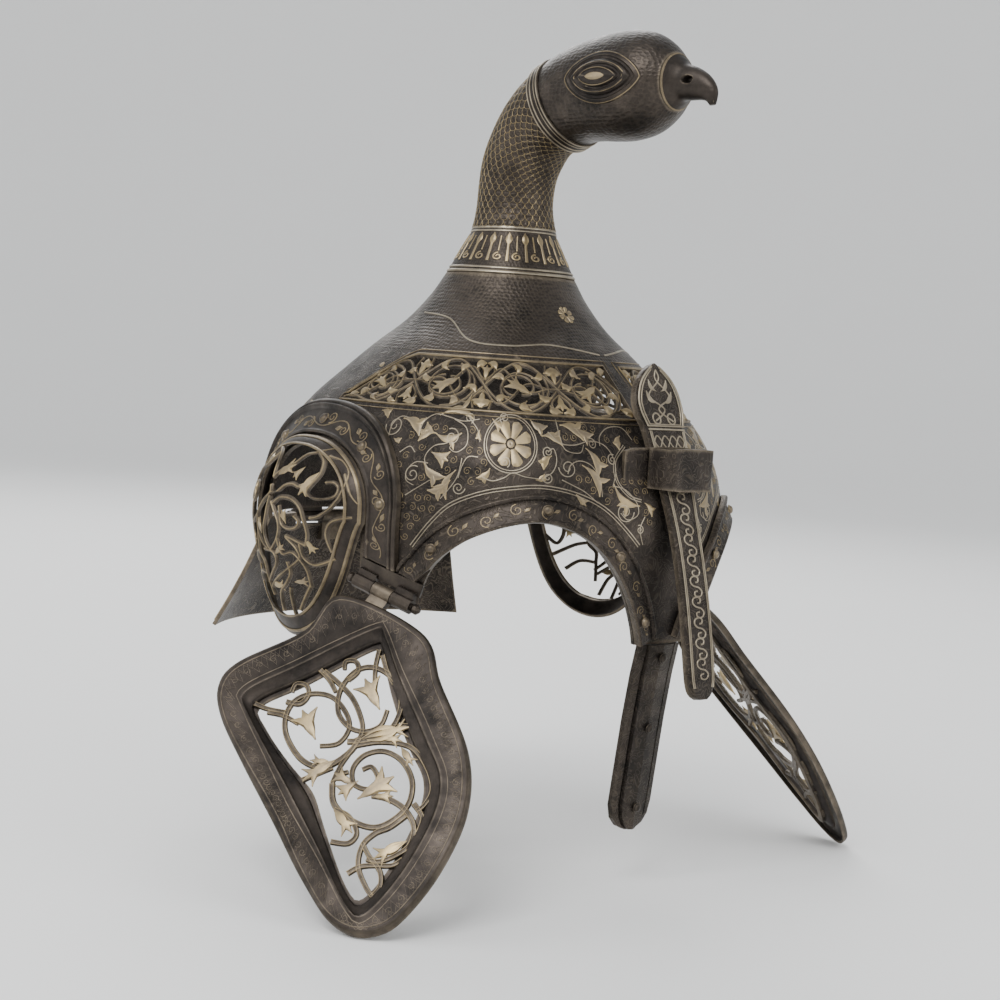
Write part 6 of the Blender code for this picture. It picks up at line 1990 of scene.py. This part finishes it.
class HELMET_OT_guards(HelmetOperator, bpy.types.Operator):
    """Add the cheek guards with their scrollwork"""
    bl_idname = "helmet.guards"
    bl_label = "Cheek guards"

    def build(self):
        stem = sizes().guard_stem * 0.42
        flat = [guard_loop(offset, rise, False) if offset >= 0 else guard_loop(offset, rise)
                for offset, rise in GUARD_SECTION]
        flat += [guard_loop(offset, rise) for offset, rise in GUARD_INNER]
        strokes = []
        for points in GUARD_COILS:
            strokes.append(vine(points, stem, stem * 0.72, 7))
        for points in GUARD_STEMS:
            strokes.append(vine(points, stem * 0.9, stem * 0.7, 7))
        inlay = []
        for a, b, c, d, w in GUARD_TULIPS:
            inlay += tulip((a, b), (c, d), w)
        contours = [line for stroke in strokes for line in contour(stroke, 0.62, 0.2)]
        borders = [(guard_loop(3.4, 0, False, 160)[:, :2] / MM, 0.3, True),
                   (guard_loop(-3.6, 0, True, 160)[:, :2] / MM, 0.3, True)]
        scribbles = []
        _, turn, outer, panel = guard_edges(GUARD_SPOKES)
        middle = guard_loop(0, 0)[:, :2] / MM
        far = guard_loop(0, 0, False)[:, :2] / MM
        width = np.linalg.norm(far - middle, axis=1)
        zigzag, second = [], []
        for i in range(GUARD_SPOKES):
            reach = far[i] - middle[i]
            zigzag.append(middle[i] + reach * (0.34 if i % 2 else 0.74))
            second.append(middle[i] + reach * (0.72 if i % 2 else 0.50) + reach[::-1] * 0.05)
            if i % 3 == 0 and width[i] > 8:
                scribbles.append(coil(middle[i] + reach * 0.54, 1.7, 40 * i, 1.2 * (-1) ** i, 0.15, 0.12, 0.2, 11))
        scribbles += [(np.array(zigzag), 0.2, True), (np.array(second), 0.15, True)]
        for side, name in SIDES:
            body = f"{name}_cheek"
            area = guard_area(side)
            rings = np.array([area(loop[:, 0], loop[:, 1], loop[:, 2]) for loop in flat])
            shell = add_loft(f"guard_shell_{name}", rings, capped=False)
            self.turn_outwards(shell, area)
            thicken(shell, 1.3 * MM)
            finish_piece(shell, "plain", body, (f"cheek_guard_{name}",))
            point, axis, down, outward = cheek_axes(side)
            flare = math.radians(GUARD_FLARE)
            hang = down * math.cos(flare) + outward * math.sin(flare)
            face = outward * math.cos(flare) - down * math.sin(flare)
            link = add_link(f"guard_link_{name}", point, axis, hang, face, HINGE_LENGTH,
                            *GUARD_LINK_DEPTHS)
            finish_piece(link, "plain", body, (), 40)
            lay("stem", body, f"guard_scrolls_{name}", strokes, area, 1.5, 2.2)
            lay("line", body, f"guard_contours_{name}", contours, area, 0.3, 3.30)
            lay("inlay", body, f"guard_leaves_{name}", inlay, area, 1.0, 3.0)
            lay("worn", body, f"guard_lines_{name}", borders + scribbles, area, 0.3, 5.44, roundness=1)

    def turn_outwards(self, piece, area):
        """Face the sheet away from the guard's back."""
        mesh = piece.data
        face = area(np.array(0.0), np.array(0.0), np.array(1.0)) - area(np.array(0.0), np.array(0.0), np.array(0.0))
        total = sum((polygon.normal.dot(Vector(face)) * polygon.area for polygon in mesh.polygons))
        if total < 0:
            edit(piece, turn_over)


GUARD_INNER = ((0.5, 4.9), (2.0, 4.3), (3.6, 3.7), (4.8, 3.3), (5.3, 2.6), (5.5, 1.7), (7.8, 1.7))


# ---------------------------------------------------------------- nape guard and kept parts

class HELMET_OT_nape(HelmetOperator, bpy.types.Operator):
    """Add the nape guard with its raised dots"""
    bl_idname = "helmet.nape"
    bl_label = "Nape guard"

    def build(self):
        area = nape_area()

        def place(u, v, stand):
            beside = np.clip((np.abs(2 * u - 1) - 0.44) / 0.04, 0, 1)
            return area(2 * u - 1, v - 0.135 * beside * (1 - v) ** 6, stand)
        shell = add_skin("nape_shell", place, 160, 40, (0.15, 0.055), NAPE_WALL, closed=False)
        finish_piece(shell, "border", "nape", ("nape_guard",))
        link = add_link("nape_link", bowl_point(180, -NAPE_LEVEL, NAPE_STAND), (1, 0, 0), (0, 0, -1), (0, 1, 0),
                        NAPE_HINGE_LENGTH, *NAPE_LINK_DEPTHS)
        finish_piece(link, "plain", "nape", (), 40)
        stretch, drop = 74.0, 52.0

        def flat(x, y, z):
            return area(x / (stretch * MM), y / (drop * MM), z)
        strokes, dots = [], []
        corner = [(-72, 2.2), (72, 2.2), (72.5, 49.6), (-72.5, 49.6)]
        for inset, wire in ((0, 0.8), (3.2, 0.4)):
            box = [(x - math.copysign(inset, x), y + (inset if y < 20 else -inset)) for x, y in corner]
            line = []
            for start, end in zip(box, box[1:] + box[:1]):
                line += [(start[0] + (end[0] - start[0]) * t, start[1] + (end[1] - start[1]) * t)
                         for t in np.linspace(0, 1, 30, endpoint=False)]
            strokes.append((line, wire, True))
        wave = np.linspace(-66, 66, 160)
        strokes.append((np.stack((wave, 26 + 9 * np.sin(wave * 2 * math.pi / 33)), -1), 0.8, False))
        for i in range(8):
            x = -57.75 + 16.5 * i
            turn = 1 if i % 2 else -1
            strokes.append(coil((x, 26 - 4.5 * turn), 8.0, 90 * turn, 1.5 * turn, 0.8, 0.55, 0.2, 18))
            strokes += tulip((x, 26 + 2 * turn), (x, 26 - 5 * turn), 5.0)
            dots.append(ring((x, 44.5), 1.0, 1.0, 12))
            dots.append(ring((x + 8, 44.5), 0.7, 0.7, 12))
            dots.append(ring((x, 7.2), 0.8, 0.8, 12))
        lay("line", "nape", "nape_scrolls", strokes, flat, 0.7, 0.1)
        lay("rim", "nape", "nape_dots", dots, flat, 0.9, 0.1)


class HELMET_OT_fittings(HelmetOperator, bpy.types.Operator):
    """Give the hinges, pins and fixed nasal their finish"""
    bl_idname = "helmet.fittings"
    bl_label = "Fittings"

    def build(self):
        finishes = {
            "nasal_guard": "kept_engraved", "nape_hinge": "kept", "nape_pin": "kept",
            "cheek_hinge_right": "kept", "cheek_hinge_left": "kept", "cheek_pin_right": "kept",
            "cheek_pin_left": "kept",
        }
        for node, finish in finishes.items():
            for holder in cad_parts[node].material_slots:
                holder.material = FINISHES[finish]


# ---------------------------------------------------------------- stage

# Camera's azimuth, elevation and roll in degrees, its place and its lens, fitted to the photo
CAMERA_ANGLES = (-45, 4, 4)
CAMERA_SPOT = (-0.70295, -0.70779, 0.0700)
CAMERA_LENS = 73.47
FLOOR_BEND = 1.6
LIGHTS = (
    ("Key light", (-1.5, -0.55, 1.7), 1.1, 34), ("Fill light", (0.6, -1.9, 0.7), 1.6, 13),
    ("Rim light", (0.9, 1.3, 1.3), 1.2, 20), ("Side light", (-1.6, 1.0, 0.8), 1.2, 9),
)


class HELMET_OT_stage(HelmetOperator, bpy.types.Operator):
    """Add the floor, the lights and the camera"""
    bl_idname = "helmet.stage"
    bl_label = "Stage"

    floor_radius: bpy.props.FloatProperty(name="Floor radius", description="Radius of the flat floor", default=2.6,
                                          min=1.0, unit="LENGTH")

    def build(self):
        low = CAD_BOX[0].z - 0.0005
        radius = self.floor_radius
        profile = [(0.0, 0.0), (radius, 0.0)]
        for i in range(1, 13):
            angle = math.radians(90 * i / 12)
            profile.append((radius + FLOOR_BEND * math.sin(angle), FLOOR_BEND * (1 - math.cos(angle))))
        profile.append((radius + FLOOR_BEND, 2 * FLOOR_BEND))
        reach, rise = [row[0] for row in profile], [row[1] for row in profile]

        def place(u, v, stand):
            at = v * (len(profile) - 1)
            r = np.interp(at, range(len(profile)), reach)
            z = np.interp(at, range(len(profile)), rise)
            angle = 2 * math.pi * u
            return np.stack((r * np.cos(angle), r * np.sin(angle), low + z + stand), -1)
        floor = add_skin("floor", place, 96, len(profile) - 1, (1, 1), closed=True)
        floor.data.materials.append(self.floor_finish())
        choose(floor)
        bpy.ops.object.shade_smooth_by_angle(angle=math.radians(60))
        deselect()
        self.add_world()
        self.add_lights()
        self.add_camera()

    def floor_finish(self):
        material = bpy.data.materials.new("Floor paper")
        material.use_nodes = True
        tree = material.node_tree
        shader = tree.nodes["Principled BSDF"]
        spot = add_node(tree, "ShaderNodeTexCoord").outputs["Object"]
        pale = tuple(colours().floor)
        tone = blend_colour(tree, noise(tree, spot, 3.0, 3.0), tuple(0.97 * c for c in pale) + (1.0,), pale + (1.0,))
        tree.links.new(tone, shader.inputs["Base Color"])
        shader.inputs["Roughness"].default_value = 0.9
        return material

    def add_world(self):
        world = bpy.data.worlds.new("Pale room")
        world.use_nodes = True
        sky = world.node_tree.nodes["Background"]
        sky.inputs["Color"].default_value = (0.95, 0.97, 1.0, 1.0)
        sky.inputs["Strength"].default_value = 0.85
        bpy.context.scene.world = world

    def add_lights(self):
        for name, spot, size, power in LIGHTS:
            deselect()
            bpy.ops.object.light_add(type="AREA", location=spot)
            lamp = bpy.context.object
            lamp.name = name
            lamp.data.size = size
            lamp.data.energy = power
            lamp.rotation_euler = (-Vector(spot)).to_track_quat("-Z", "Y").to_euler()

    def add_camera(self):
        azimuth, elevation, roll = (math.radians(angle) for angle in CAMERA_ANGLES)
        back = Vector((math.sin(azimuth) * math.cos(elevation), -math.cos(azimuth) * math.cos(elevation),
                       math.sin(elevation)))
        right = Vector((math.cos(azimuth), math.sin(azimuth), 0))
        up = back.cross(right)
        deselect()
        bpy.ops.object.camera_add(location=CAMERA_SPOT)
        camera = bpy.context.object
        camera.name = "Camera"
        matrix = Matrix.Identity(4)
        axes = (right * math.cos(roll) + up * math.sin(roll), up * math.cos(roll) - right * math.sin(roll), back)
        for column, axis in enumerate(axes):
            for row in range(3):
                matrix[row][column] = axis[row]
        matrix.translation = camera.location
        camera.matrix_world = matrix
        camera.data.lens = CAMERA_LENS
        camera.data.sensor_width = 36
        camera.data.dof.use_dof = False
        camera.data.clip_start = 0.01
        bpy.context.scene.camera = camera


OPERATORS = (
    HELMET_OT_bowl, HELMET_OT_band, HELMET_OT_inlay, HELMET_OT_brows, HELMET_OT_ear_frames, HELMET_OT_rivets,
    HELMET_OT_nasal_rivets, HELMET_OT_bosses, HELMET_OT_neck, HELMET_OT_head, HELMET_OT_bar, HELMET_OT_bracket,
    HELMET_OT_guards, HELMET_OT_nape, HELMET_OT_fittings, HELMET_OT_stage,
)


class HELMET_PT_panel(bpy.types.Panel):
    """Pieces of the helmet, with their sizes and colours"""
    bl_idname = "HELMET_PT_panel"
    bl_label = "Bird helmet"
    bl_space_type = "VIEW_3D"
    bl_region_type = "UI"
    bl_category = "Helmet"

    def draw(self, context):
        for group in (context.scene.helmet_sizes, context.scene.helmet_colours):
            box = self.layout.box()
            for name in group.__annotations__:
                box.prop(group, name)
        for operator in OPERATORS:
            self.layout.operator(operator.bl_idname)


CLASSES = (HelmetSizes, HelmetColours, *OPERATORS, HELMET_PT_panel)


def register():
    for item in CLASSES:
        bpy.utils.register_class(item)
    bpy.types.Scene.helmet_sizes = bpy.props.PointerProperty(type=HelmetSizes)
    bpy.types.Scene.helmet_colours = bpy.props.PointerProperty(type=HelmetColours)


def unregister():
    del bpy.types.Scene.helmet_colours
    del bpy.types.Scene.helmet_sizes
    for item in reversed(CLASSES):
        bpy.utils.unregister_class(item)


def main():
    register()
    for operator in OPERATORS:
        getattr(bpy.ops.helmet, operator.bl_idname.split(".")[1])()
    bpy.context.view_layer.update()


if __name__ == "__main__":
    main()
